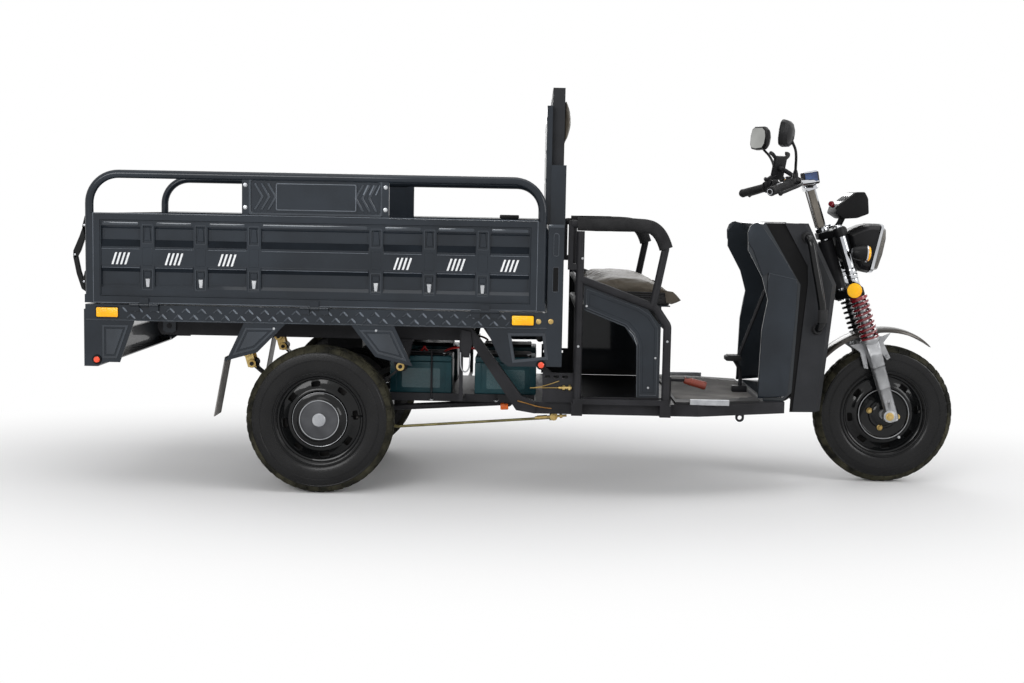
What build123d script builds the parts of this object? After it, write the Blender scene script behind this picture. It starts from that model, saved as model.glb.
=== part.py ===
from build123d import *
import os
from math import atan2, cos, radians, sin

# Electric cargo tricycle: one steered wheel in front, a driver's bench, and a drop-side cargo bed
# that tips over its rear edge.  Millimetres.  +X is forwards and +Y is the vehicle's left side.
# Every height below is measured from the line of the axles.  The last lines lift the pieces by the
# tyre's radius, so that Z = 0 is the ground, with the origin under the middle of the vehicle.

# ------------------------------------------------------------------ clearances
hinge_clearance = 0.3       # between a pin or shaft and its bore, on the radius
seat_clearance = 0.3        # between a soft pad and what carries it
moving_clearance = 6.0      # between bodies that swing past each other
reach = 2000.0              # of a cutting tool, past everything in its way

# ------------------------------------------------------------------ wheels
wheelbase = 2170.0
rear_axle_x = -768.0
rear_track = 930.0
tyre_diameter = 544.0
tyre_width = 100.0
tyre_bead_radius = 156.0
tyre_bead_width = 76.0
tyre_side_radius = 218.0
tyre_shoulder_drop = 10.0
tyre_shoulder_width = 80.0
rim_flange_radius = 168.0
rim_flange_thickness = 6.0
rim_wall = 4.0
disc_thickness = 5.0
disc_inset = 22.0
vent_circle_radius = 128.0
vent_radius = 10.0
vent_count = 8
drum_radius = 104.0
drum_width = 58.0
hub_radius = 46.0
hub_nose = 34.0
axle_shaft_radius = 14.0

# ------------------------------------------------------------------ cargo bed
headboard_gap = 7.0         # between the drop sides and the headboard
bed_side_length = 1663.0
bed_half_width = 540.0
floor_top_z = 410.0
floor_sheet = 3.0
skirt_bottom_z = 352.0
skirt_sheet = 3.0
skirt_inset = 5.0
side_thickness = 30.0
side_bottom_z = 416.0
rail_height = 30.0
rim_top_z = 738.0
rim_height = 26.0
hoop_top_z = 895.0
hoop_tube_radius = 15.0
hoop_bend_radius = 107.0
post_width = 30.0
panel_sheet = 2.0
panel_recess_depth = 12.0
panel_raised_depth = 3.0
rib_width = 51.0
rib_pitch = 192.0
rib_first = 220.0
sign_half_length = 264.0
sign_sheet = 3.0
sign_post_width = 24.0
side_hinge_offset = 5.0
side_hinge_drop = 5.0
hinge_barrel_radius = 6.0
hinge_pin_radius = 3.0
hinge_length = 104.0
hinge_inset = 216.5
bearer_width = 50.0
crossbearer_height = 30.0

tailgate_gap = 5.0
tailgate_thickness = 30.0
tailgate_overhang = 5.0
tailgate_axis_back = 9.0
latch_width = 24.0
tail_lamp_inset = 75.0
tail_lamp_width = 64.0
reflector_length = 80.0
reflector_height = 36.0
reflector_end_gap = 40.0
latch_inset = 27.0

bumper_post_depth = 50.0
bumper_bottom_z = 184.0
bumper_beam_height = 110.0
bumper_sheet = 4.0
plate_hole_spacing = 110.0
plate_hole_radius = 3.5
plate_hole_z = 258.0

headboard_x = 56.0
headboard_depth = 56.0
headboard_post_width = 35.0
headboard_bottom_z = 216.0
headboard_top_z = 728.0
headboard_sheet = 3.0
back_panel_top_z = 1153.0
back_pad_top_z = 1219.0
back_pad_bottom_z = 941.0
back_pad_half_width = 452.0
back_pad_thickness = 50.0
cushion_bulge = 26.0
back_cushion_margin = 32.0

# ------------------------------------------------------------------ chassis
rail_track_inset = 135.0    # from the middle of a rear tyre in to its chassis rail and spring
rail_width = 50.0
rail_top_z = 368.0
rail_depth = 80.0
rail_front_x = -226.0
tip_pivot_inset = 262.0     # forward from the rear end of the bed
tip_pivot_z = 322.0
tip_pin_radius = 10.0
outrigger_half_width = 460.0
diagonal_y = 440.0
diagonal_width = 40.0
drop_knee_reach = 52.0
drop_knee_rise = 26.0
footwell_top_z = 73.0
footwell_depth = 40.0
footwell_half_width = 450.0
footwell_front_half_width = 310.0
footwell_rear_x = 20.0
footwell_taper_setback = 752.0   # these three are behind the foot of the steering axis
footwell_setback = 412.0
floor_plate_sheet = 3.0
floor_mat_thickness = 9.0
mat_margin = 10.0
tow_eye_radius = 8.0
tow_eye_wall = 8.0
tow_eye_thickness = 8.0
tow_eye_setback = 587.0
tow_eye_z = 21.0

spring_width = 50.0
spring_front_reach = 282.0
spring_rear_reach = 274.0
spring_eye_z = 187.0
spring_pad_z = 72.0
leaf_thickness = 7.0
leaf_count = 4
axle_tube_radius = 32.0
differential_radius = 105.0
motor_radius = 82.0
motor_length = 110.0

battery_length = 233.0
battery_height = 153.0
battery_width = 180.0
battery_rail_gap = 15.0
battery_pitch = 321.0
motor_tray_gap = 10.0       # between the drive motor and the battery tray
tray_end_gap = 11.0
controller_height = 75.0
brake_rod_inset = 77.0
tray_z = 80.0
tray_angle = 30.0
tray_hanger_joint_z = 200.0

# ------------------------------------------------------------------ seat
seat_half_width = 490.0
seat_tube_radius = 15.0
seat_post_x = 172.0
seat_post_gap = 1.0         # under the armrest foam
cable_plate_x = 45.0
cable_plate_height = 125.0
cable_plate_sheet = 4.0
cable_slot_pitch = 32.0
seat_length = 323.0
seat_rail_high_z = 533.0
seat_rail_low_z = 433.0
seat_deck_z = 440.0
seat_deck_sheet = 4.0
cushion_half_width = 430.0
armrest_z = 732.0
armrest_tube_radius = 14.0
armrest_bend = 35.0
armrest_foam_radius = 25.0
armrest_y = 478.0
parking_lever_y = 360.0

# ------------------------------------------------------------------ steering
rake_angle = 18.0
fairing_wall = 4.0
shield_half_width = 290.0
shield_wall = 6.0
cover_thickness = 9.7
crash_bar_radius = 11.0
axle_offset = 30.0          # the wheel's axle is this far ahead of the steering axis, level with it
fork_offset = 45.0
fork_half_spacing = 95.0
fork_leg_radius = 25.0
fork_tube_radius = 14.0
fork_spring_radius = 36.0
fork_spring_wire = 10.0
fork_spring_turns = 7
head_tube_radius = 30.0
stem_radius = 18.0
strut_radius = 18.0
strut_bend = 40.0
lower_clamp_s = 478.0
clamp_height = 32.0
top_clamp_s = 724.0
leg_top_s = 306.0
handlebar_s = 945.0
handlebar_radius = 11.0
grip_radius = 16.5
fender_inner_radius = 336.0
fender_sheet = 6.0
fender_lip = 24.0
fender_front_angle = 58.0   # of the front tip, up from the line of the axles
headlight_half = 104.0

front_axle_x = rear_axle_x + wheelbase
steer_x = front_axle_x - axle_offset
steer = Plane(
    origin=(steer_x, 0, 0),
    x_dir=(cos(radians(rake_angle)), 0, sin(radians(rake_angle))),
    z_dir=(-sin(radians(rake_angle)), 0, cos(radians(rake_angle))),
)
bar_centre = steer.from_local_coords((0, 0, handlebar_s))
clamp_centre = steer.from_local_coords((0, 0, top_clamp_s))
at_front = Pos(steer_x, 0, 0)
at_rear = Pos(rear_axle_x, 0, 0)
at_bars = Pos(bar_centre.X, 0, bar_centre.Z)
at_clamp = Pos(clamp_centre.X, 0, clamp_centre.Z)
bed_front_x = headboard_x - headboard_gap
bed_rear_x = bed_front_x - bed_side_length
tip_pivot_x = bed_rear_x + tip_pivot_inset
rail_y = rear_track / 2 - rail_track_inset
spring_y = rail_y
spring_front_eye_x = rear_axle_x + spring_front_reach
spring_rear_eye_x = rear_axle_x - spring_rear_reach
footwell_taper_x = steer_x - footwell_taper_setback
footwell_front_x = steer_x - footwell_setback
tow_eye_x = steer_x - tow_eye_setback
floor_sheet_top_z = footwell_top_z + floor_plate_sheet
battery_outer_y = rail_y - rail_width / 2 - battery_rail_gap
tray_rear_x = rear_axle_x + differential_radius + motor_length + motor_tray_gap
tray_front_x = footwell_rear_x - 1
seat_leg_x = seat_post_x + seat_length
seat_base_z = floor_sheet_top_z + 1
seat_post_top_z = armrest_z - armrest_foam_radius - seat_post_gap
bed_middle_x = (bed_rear_x + bed_front_x) / 2
skirt_y = bed_half_width - skirt_inset
side_axis_y = bed_half_width + side_hinge_offset
side_axis_z = side_bottom_z - side_hinge_drop
tailgate_rear_x = bed_rear_x - tailgate_overhang
tailgate_axis_x = tailgate_rear_x - tailgate_axis_back
tailgate_half_width = bed_half_width - side_thickness - tailgate_gap
latch_y = tailgate_half_width - latch_inset
bumper_rear_x = tailgate_rear_x - 1
tip_pin_half_length = rail_y + rail_width / 2 + 12


# ------------------------------------------------------------------ helpers
def block(x0, x1, y0, y1, z0, z1):
    """A box between two opposite corners."""
    centre = Pos((x0 + x1) / 2, (y0 + y1) / 2, (z0 + z1) / 2)
    return centre * Box(abs(x1 - x0), abs(y1 - y0), abs(z1 - z0))


def profile_xz(points, y0, y1):
    """A straight-sided outline in the XZ plane, as thick as the space from y0 to y1."""
    outline = make_face(Polyline(*points, close=True))
    return extrude(Plane.XZ.offset(-max(y0, y1)) * outline, amount=abs(y1 - y0))


def profile_yz(points, x0, x1):
    """A straight-sided outline in the YZ plane, from x0 to x1."""
    outline = make_face(Polyline(*points, close=True))
    return extrude(Plane.YZ.offset(x0) * outline, amount=x1 - x0)


def rod_y(x, z, radius, y0, y1):
    """A round bar along Y."""
    return Pos(x, (y0 + y1) / 2, z) * Rot(90, 0, 0) * Cylinder(radius, abs(y1 - y0))


def rod_x(y, z, radius, x0, x1):
    """A round bar along X."""
    return Pos((x0 + x1) / 2, y, z) * Rot(0, 90, 0) * Cylinder(radius, abs(x1 - x0))


def tube(points, radius, bend=0.0):
    """A round bar through the points, with its corners bent to one radius."""
    path = FilletPolyline(*points, radius=bend) if bend else Polyline(*points)
    section = Plane(origin=path @ 0, z_dir=path % 0) * Circle(radius)
    return sweep(section, path=path)


def both_sides(shape):
    """The shape and its mirror image on the other side of the vehicle."""
    return shape + mirror(shape, about=Plane.XZ)


def joined(*shapes):
    return shapes[0] + list(shapes[1:])


# ------------------------------------------------------------------ wheels
def tyre():
    """A tyre on the Y axis, about the origin."""
    bead = tyre_bead_width / 2
    shoulder = tyre_shoulder_width / 2
    half = tyre_width / 2
    crown = tyre_diameter / 2
    shoulder_radius = crown - tyre_shoulder_drop
    foot_radius = rim_flange_radius + 2
    outline = (
        Line((tyre_bead_radius, -bead), (foot_radius, -bead))
        + ThreePointArc((foot_radius, -bead), (tyre_side_radius, -half), (shoulder_radius, -shoulder))
        + ThreePointArc((shoulder_radius, -shoulder), (crown, 0), (shoulder_radius, shoulder))
        + ThreePointArc((shoulder_radius, shoulder), (tyre_side_radius, half), (foot_radius, bead))
        + Line((foot_radius, bead), (tyre_bead_radius, bead))
        + Line((tyre_bead_radius, bead), (tyre_bead_radius, -bead))
    )
    return revolve(make_face(outline), Axis.Y)


def ring(outer, inner, y0, y1):
    """A round tube on the Y axis."""
    solid = rod_y(0, 0, outer, y0, y1)
    return solid - rod_y(0, 0, inner, min(y0, y1) - 1, max(y0, y1) + 1) if inner else solid


def rim():
    """The pressed steel wheel, its disc towards -Y."""
    bead = tyre_bead_width / 2
    flange = bead + rim_flange_thickness
    barrel = ring(tyre_bead_radius, tyre_bead_radius - rim_wall, -flange, flange)
    near = ring(rim_flange_radius, tyre_bead_radius - rim_wall, -flange, -bead)
    far = ring(rim_flange_radius, tyre_bead_radius - rim_wall, bead, flange)
    disc_y = -flange + disc_inset
    disc = ring(tyre_bead_radius - rim_wall / 2, hub_radius - 2, disc_y, disc_y + disc_thickness)
    wheel = joined(barrel, near, far, disc)
    for number in range(vent_count):
        hole = Pos(vent_circle_radius, 0, 0) * Rot(90, 0, 0) * Cylinder(vent_radius, tyre_width * 2)
        wheel -= Rot(0, 360 / vent_count * number, 0) * hole
    return wheel


def rear_wheel():
    """A rear wheel's rim with its hub and brake drum, the outer face towards -Y."""
    disc_y = -tyre_bead_width / 2 - rim_flange_thickness + disc_inset
    nose = ring(hub_radius, 0, disc_y - hub_nose, disc_y + disc_thickness + 1)
    drum = ring(drum_radius, 0, disc_y + disc_thickness, disc_y + disc_thickness + drum_width)
    bore = rod_y(0, 0, axle_shaft_radius + hinge_clearance, disc_y - hub_nose + 8, tyre_width * 2)
    return joined(rim(), nose, drum) - bore


def front_wheel():
    """The front wheel's rim with its drum hub between the fork legs."""
    disc_y = -tyre_bead_width / 2 - rim_flange_thickness + disc_inset
    drum = ring(drum_radius, 0, disc_y - 14, tyre_bead_width / 2 + 4)
    nose = ring(hub_radius, 0, disc_y - 30, disc_y)
    bore = rod_y(0, 0, axle_shaft_radius + hinge_clearance, -tyre_width * 2, tyre_width * 2)
    return joined(rim(), drum, nose) - bore


# ------------------------------------------------------------------ cargo bed
def bed_floor():
    """The floor sheet with its edge skirts, crossbearers and the two bearers on the chassis."""
    front = headboard_x
    sheet = block(bed_rear_x, front, -skirt_y, skirt_y, floor_top_z - floor_sheet, floor_top_z)
    skirt = block(bed_rear_x, front, skirt_y - skirt_sheet, skirt_y, skirt_bottom_z, floor_top_z)
    inner = rail_y - bearer_width / 2
    bearer = block(tip_pivot_x - 20, front, inner, inner + bearer_width, rail_top_z + 0.5, floor_top_z - 1)
    across = skirt_y - 1
    rear_skirt = block(bed_rear_x, bed_rear_x + skirt_sheet, -across, across, skirt_bottom_z, floor_top_z - 1)
    floor = joined(sheet, both_sides(skirt), both_sides(bearer), rear_skirt)
    count = 6
    for number in range(count):
        x = bed_rear_x + 60 + number * (front - bed_rear_x - 120) / (count - 1)
        top = floor_top_z - floor_sheet
        floor += block(x - 15, x + 15, -skirt_y + 1, skirt_y - 1, top - crossbearer_height, top + 1)
    ear = profile_xz(
        [
            (tip_pivot_x - 24, floor_top_z - 1),
            (tip_pivot_x - 24, tip_pivot_z - 18),
            (tip_pivot_x - 12, tip_pivot_z - 26),
            (tip_pivot_x + 12, tip_pivot_z - 26),
            (tip_pivot_x + 24, tip_pivot_z - 18),
            (tip_pivot_x + 24, rail_top_z + 10),
            (tip_pivot_x + 60, floor_top_z - 1),
        ],
        rail_y + rail_width / 2 + 3,
        rail_y + rail_width / 2 + 11,
    )
    ear -= rod_y(tip_pivot_x, tip_pivot_z, tip_pin_radius + hinge_clearance, 0, reach)
    floor += both_sides(ear)
    for x in side_hinge_centres():
        floor += both_sides(bed_hinge_knuckles(x))
    for y in (-tailgate_half_width * 0.7, 0, tailgate_half_width * 0.7):
        floor += tailgate_bed_knuckle(y)
    return floor


def side_hinge_centres():
    return [bed_rear_x + hinge_inset, bed_middle_x, bed_front_x - hinge_inset]


def bed_hinge_knuckles(x):
    """The bed's two outer knuckles of one drop-side hinge, with the pin through them."""
    third = hinge_length / 3
    knuckles = None
    for side in (-1, 1):
        centre = x + side * third
        low, high = centre - third / 2 + 1, centre + third / 2 - 1
        barrel = rod_x(side_axis_y, side_axis_z, hinge_barrel_radius, low, high)
        leaf_top = side_axis_z - hinge_barrel_radius + 1
        leaf = block(low, high, skirt_y - 1, side_axis_y, side_axis_z - 22, leaf_top)
        piece = joined(barrel, leaf)
        knuckles = piece if knuckles is None else knuckles + piece
    pin = rod_x(side_axis_y, side_axis_z, hinge_pin_radius, x - hinge_length / 2, x + hinge_length / 2)
    return knuckles + pin


def side_frame():
    """The left drop side's tube frame: hoop, posts, rails and the sign panel's surround."""
    outer = bed_half_width
    inner = outer - side_thickness
    centre = outer - side_thickness / 2
    leg_rear = bed_rear_x + hoop_tube_radius
    leg_front = bed_front_x - hoop_tube_radius
    top = hoop_top_z - hoop_tube_radius
    foot = side_bottom_z + 1
    corners = [(leg_rear, foot), (leg_rear, top), (leg_front, top), (leg_front, foot)]
    hoop = tube([(x, centre, z) for x, z in corners], hoop_tube_radius, hoop_bend_radius)
    bottom = block(bed_rear_x, bed_front_x, inner, outer, side_bottom_z, side_bottom_z + rail_height)
    rim_bar = block(leg_rear, leg_front, inner, outer, rim_top_z - rim_height, rim_top_z)
    frame = joined(hoop, bottom, rim_bar)
    post_z = (side_bottom_z + 5, rim_top_z - 5)
    frame += block(leg_rear, bed_rear_x + 2 * hoop_tube_radius + post_width, inner, outer, *post_z)
    frame += block(bed_front_x - 2 * hoop_tube_radius - post_width, leg_front, inner, outer, *post_z)
    for side in (-1, 1):
        x = bed_middle_x + side * (sign_half_length - sign_post_width / 2)
        half = sign_post_width / 2
        frame += block(x - half, x + half, centre - 8, centre + 8, rim_top_z - 1, top)
    sign = block(
        bed_middle_x - sign_half_length + 2,
        bed_middle_x + sign_half_length - 2,
        centre - sign_sheet / 2,
        centre + sign_sheet / 2,
        rim_top_z - 1,
        top,
    )
    frame += sign
    for x in side_hinge_centres():
        half = hinge_length / 6 - 1
        barrel = rod_x(side_axis_y, side_axis_z, hinge_barrel_radius, x - half, x + half)
        leaf = block(x - half, x + half, outer - 1, side_axis_y + 2, side_axis_z, side_bottom_z + 20)
        bore = rod_x(side_axis_y, side_axis_z, hinge_pin_radius + hinge_clearance, x - 100, x + 100)
        frame += (barrel + leaf) - bore
    return frame


def side_panel():
    """The left drop side's pressed sheet, with its raised band and upright ribs."""
    recess = bed_half_width - panel_recess_depth
    raised = bed_half_width - panel_raised_depth
    top = rim_top_z - rim_height
    bottom = side_bottom_z + rail_height
    outline = [
        (raised, top),
        (raised, top - 17),
        (recess, top - 27),
        (recess, top - 67),
        (raised, top - 99),
        (raised, top - 160),
        (recess, top - 178),
        (recess, top - 229),
        (raised, top - 241),
        (raised, bottom),
    ]
    back = [(y - panel_sheet, z) for y, z in reversed(outline)]
    x0 = bed_rear_x + 2 * hoop_tube_radius + post_width
    x1 = bed_front_x - 2 * hoop_tube_radius - post_width
    panel = profile_yz(outline + back, x0, x1)
    for x in rib_centres():
        rib = block(x - rib_width / 2, x + rib_width / 2, recess - 1, raised, bottom, top)
        rib -= block(x - rib_width / 2 + 8, x + rib_width / 2 - 8, raised - 4, raised + 5, top - 79, top - 12)
        rib -= block(x - rib_width / 2 + 8, x + rib_width / 2 - 8, raised - 4, raised + 5, top - 246, top - 172)
        panel += rib
    return panel


def rib_centres():
    """Ribs on both sides of the sign panel, as many as the sheet has room for."""
    room = bed_side_length / 2 - 2 * hoop_tube_radius - post_width - rib_width / 2
    count = int((room - rib_first) / rib_pitch) + 1
    offsets = [rib_first + number * rib_pitch for number in range(count)]
    return sorted([bed_middle_x - offset for offset in offsets] + [bed_middle_x + offset for offset in offsets])


def tailgate_bed_knuckle(y):
    """The bed's knuckle at a tailgate hinge, with its pin."""
    barrel = rod_y(tailgate_axis_x, side_axis_z, hinge_barrel_radius, y - 30, y - 2)
    leaf = block(tailgate_axis_x, bed_rear_x + 4, y - 30, y - 2, side_axis_z - 12, side_axis_z - 5)
    pin = rod_y(tailgate_axis_x, side_axis_z, hinge_pin_radius, y - 30, y + 28)
    return joined(barrel, leaf, pin)


def tailgate():
    """The rear gate: a tube frame with a pressed sheet, hinged at its foot."""
    x0 = tailgate_rear_x
    x1 = x0 + tailgate_thickness
    half = tailgate_half_width
    bottom = block(x0, x1, -half, half, side_bottom_z, side_bottom_z + rail_height)
    top = block(x0, x1, -half, half, rim_top_z - rim_height, rim_top_z)
    post = block(x0, x1, half - post_width, half, side_bottom_z + 1, rim_top_z - 1)
    sheet = block(x0 + 10, x0 + 12, -half + 5, half - 5, side_bottom_z + 5, rim_top_z - 5)
    gate = joined(bottom, top, both_sides(post), sheet)
    gate += block(x0 + 3, x0 + 12, -half + 5, half - 5, rim_top_z - 185, rim_top_z - 125)
    for number in (-2, -1, 1, 2):
        y = number * half * 0.36
        gate += block(x0 + 3, x0 + 12, y - rib_width / 2, y + rib_width / 2, side_bottom_z + 5, rim_top_z - 5)
    for y in (-half * 0.7, 0, half * 0.7):
        barrel = rod_y(tailgate_axis_x, side_axis_z, hinge_barrel_radius, y, y + 28)
        leaf = block(tailgate_axis_x - 2, x0 + 1, y, y + 28, side_axis_z, side_bottom_z + 20)
        bore = rod_y(tailgate_axis_x, side_axis_z, hinge_pin_radius + hinge_clearance, y - 50, y + 50)
        gate += (barrel + leaf) - bore
    return gate


def tailgate_latch():
    """The over-centre latch on the left of the tailgate: base, lever and rubber grip."""
    half = latch_width / 2
    base = block(-5, 0, -half, half, -238, -42)
    bracket = profile_xz([(-4, -104), (-40, -104), (-34, -134), (-4, -160)], 3 - half, half - 3)
    hook = tube([(-8, 0, -36), (-30, 0, -36), (-44, 0, -110), (-30, 0, -130)], 4, 8)
    lever = tube([(-30, 0, -130), (-34, 0, -165), (-49, 0, -198), (-22, 0, -282)], 5, 20)
    grip = tube([(-46, 0, -206), (-23, 0, -278)], 8)
    return Pos(tailgate_rear_x, latch_y, rim_top_z) * joined(base, bracket, hook, lever, grip)


def rear_bumper():
    """The lamp and bumper carrier under the bed's rear end."""
    x0 = bumper_rear_x
    x1 = x0 + bumper_post_depth
    outer = skirt_y - skirt_sheet
    post = block(x0, x1, outer - 40, outer, bumper_bottom_z, skirt_bottom_z + 40)
    post -= block(bed_rear_x, bed_rear_x + skirt_sheet, 0, reach, skirt_bottom_z, reach)
    plate = profile_xz(
        [
            (x1 - 2, skirt_bottom_z + 10),
            (x1 + 134, skirt_bottom_z + 10),
            (x1 + 134, skirt_bottom_z),
            (x1 + 80, skirt_bottom_z - 152),
            (x1 + 22, skirt_bottom_z - 152),
            (x1 - 2, bumper_bottom_z),
        ],
        outer - 3,
        outer,
    )
    across = outer - 2
    beam_top = bumper_bottom_z + bumper_beam_height
    beam = block(x0, x0 + bumper_sheet, -across, across, bumper_bottom_z, beam_top)
    lip = block(x0, x1, -across, across, bumper_bottom_z, bumper_bottom_z + bumper_sheet)
    brow = block(x0, x1, -across, across, beam_top - bumper_sheet, beam_top)
    bumper = joined(both_sides(post), both_sides(plate), beam, lip, brow)
    for side in (-1, 1):
        bumper -= rod_x(side * plate_hole_spacing / 2, plate_hole_z, plate_hole_radius, x0 - 5, x0 + 15)
    return bumper


def headboard():
    """The bed's front wall, with corner posts, and the panel that stands above it."""
    x0 = headboard_x
    x1 = x0 + headboard_depth
    outer = skirt_y - skirt_sheet
    post = block(x0, x1, outer - headboard_post_width, outer, headboard_bottom_z, headboard_top_z)
    sheet_x = x0 + headboard_depth / 2
    sheet = block(
        sheet_x, sheet_x + headboard_sheet, -outer + 5, outer - 5, floor_top_z, headboard_top_z
    )
    rail = block(x0, x1, -outer + 2, outer - 2, headboard_top_z - 24, headboard_top_z)
    board = joined(both_sides(post), sheet, rail)
    upright = block(x0 + 5, x1 + 3, outer - 77, outer - 37, headboard_top_z - 2, back_pad_bottom_z)
    panel = block(x0 - 14, x0 + 6, 52 - outer, outer - 52, headboard_top_z - 1, back_panel_top_z)
    board += both_sides(upright)
    board += panel
    return board


def back_pad():
    """The black board behind the driver's back cushion."""
    x0 = headboard_x + 6 + seat_clearance
    half = back_pad_half_width
    return block(x0, x0 + back_pad_thickness - 6, -half, half, back_pad_bottom_z + 1, back_pad_top_z)


def back_cushion():
    """The driver's upholstered back cushion."""
    x0 = headboard_x + back_pad_thickness + 2 * seat_clearance
    half = back_pad_half_width - back_cushion_margin
    low = back_pad_top_z - 195
    cushion = block(x0, x0 + cushion_bulge, -half, half, low, low + 159)
    return fillet(cushion.edges().filter_by(Axis.Y).group_by(Axis.X)[-1], cushion_bulge - 6)


def bed_fender_plate(points):
    return profile_xz(points, skirt_y - skirt_sheet - 3, skirt_y - skirt_sheet)


def wheel_guards():
    """Plates that hang from the skirt before and behind each rear wheel, and the front skirt panel."""
    rear = bed_fender_plate([(-278, 12), (-273, -4), (-336, -138), (-223, -106), (-120, 0), (-120, 12)])
    front = bed_fender_plate([(120, 12), (120, -3), (206, -113), (341, -145), (274, -3), (274, 12)])
    hanger = block(-340, -332, skirt_y - 115, skirt_y - skirt_sheet, -140, -128)
    skirt = bed_fender_plate([(-219, 12), (-219, -4), (-163, -119), (-137, -138), (0, -136), (0, 12)])
    window = profile_xz([(-127, -28), (-16, -26), (-6, -100), (-112, -112)], 0, reach)
    at_wheel = Pos(rear_axle_x, 0, skirt_bottom_z)
    at_headboard = Pos(headboard_x, 0, skirt_bottom_z)
    return both_sides(at_wheel * joined(rear, hanger, front)) + both_sides(at_headboard * (skirt - window))


def mud_flaps():
    """The rubber flap behind each rear wheel."""
    flap = profile_xz([(-342, -126), (-338, -126), (-378, -344), (-382, -344)], skirt_y - 117, skirt_y - 9)
    flap -= block(-340.5, 0, 0, reach, -141, -125)
    return both_sides(Pos(rear_axle_x, 0, skirt_bottom_z) * flap)


def red_lamps():
    """Tail lamps on the rear skirt, inboard of the bumper posts."""
    outer = skirt_y - tail_lamp_inset
    z0 = skirt_bottom_z + 4
    lamp = block(bed_rear_x - 10, bed_rear_x, outer - tail_lamp_width, outer, z0, z0 + 40)
    return both_sides(lamp)


def amber_reflectors():
    """Amber reflectors near both ends of the skirts."""
    z0 = skirt_bottom_z + 12
    rear_x = bed_rear_x + reflector_end_gap
    front_x = bed_front_x - reflector_end_gap - reflector_length
    rear = block(rear_x, rear_x + reflector_length, skirt_y, skirt_y + 3, z0, z0 + reflector_height)
    front = Pos(front_x - rear_x, 0, 0) * rear
    return both_sides(rear) + both_sides(front)


# ------------------------------------------------------------------ chassis
def chassis_frame():
    """Rear rails, crossmembers, the drop to the footwell, and the tray hangers."""
    y0 = rail_y - rail_width / 2
    y1 = rail_y + rail_width / 2
    bottom = rail_top_z - rail_depth
    rail = block(tip_pivot_x, rail_front_x, y0, y1, bottom, rail_top_z)
    rail_end = rod_y(tip_pivot_x, tip_pivot_z, rail_top_z - tip_pivot_z, y0, y1)
    rail += rail_end & block(tip_pivot_x - rail_depth, tip_pivot_x + 1, y0, y1, bottom, rail_top_z)
    frame = both_sides(rail)
    for x in (tip_pivot_x + 12, spring_rear_eye_x - 20, rear_axle_x + 68, spring_front_eye_x + 30):
        frame += block(x - 20, x + 20, -y0 - 1, y0 + 1, bottom + 20, rail_top_z - 5)
    out = outrigger_half_width
    frame += block(rail_front_x - 30, rail_front_x + 10, -out, out, rail_top_z - 50, rail_top_z)
    drop = profile_xz(
        [
            (rail_front_x - 30, rail_top_z - 25),
            (rail_front_x + 10, rail_top_z - 25),
            (footwell_rear_x - drop_knee_reach, footwell_top_z + drop_knee_rise),
            (footwell_rear_x + 5, footwell_top_z),
            (footwell_rear_x + 5, footwell_top_z - footwell_depth),
            (footwell_rear_x - drop_knee_reach - 18, footwell_top_z - footwell_depth + 12),
        ],
        diagonal_y - diagonal_width / 2,
        diagonal_y + diagonal_width / 2,
    )
    drop -= block(footwell_rear_x, reach, 0, reach, -reach, reach)
    frame += both_sides(drop)
    hanger_y = outrigger_half_width - 8
    x0, x1 = tray_hanger_span()
    hanger = block(x0, x1, hanger_y - 6, hanger_y, tray_hanger_joint_z, rail_top_z - 20)
    frame += both_sides(hanger)
    front_hanger = profile_xz(
        [
            (spring_front_eye_x - 45, bottom + 1),
            (spring_front_eye_x - 18, spring_eye_z - 18),
            (spring_front_eye_x + 18, spring_eye_z - 18),
            (spring_front_eye_x + 45, bottom + 1),
        ],
        spring_y + spring_width / 2 + 1,
        spring_y + spring_width / 2 + 6,
    )
    inner_hanger = Pos(0, -spring_width - 7, 0) * front_hanger
    bolt_half = spring_width / 2 + 6
    eye_bolt = rod_y(spring_front_eye_x, spring_eye_z, 9, spring_y - bolt_half, spring_y + bolt_half)
    cap = block(spring_front_eye_x - 45, spring_front_eye_x + 45, y0 - 2, y1 + 7, bottom - 6, bottom + 1)
    frame += both_sides(joined(front_hanger, inner_hanger, cap, eye_bolt))
    pin = rod_y(tip_pivot_x, tip_pivot_z, tip_pin_radius, y1 - 5, tip_pin_half_length)
    frame += both_sides(pin)
    return frame


def footwell_plan(setback=0.0):
    """The footwell's outline seen from above, drawn in by the setback."""
    half = footwell_half_width
    corners = [(footwell_rear_x, half), (footwell_taper_x, half), (footwell_front_x, footwell_front_half_width)]
    corners += [(x, -y) for x, y in reversed(corners)]
    plan = make_face(Polyline(*corners, close=True))
    return offset(plan, amount=-setback, kind=Kind.INTERSECTION) if setback else plan


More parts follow.
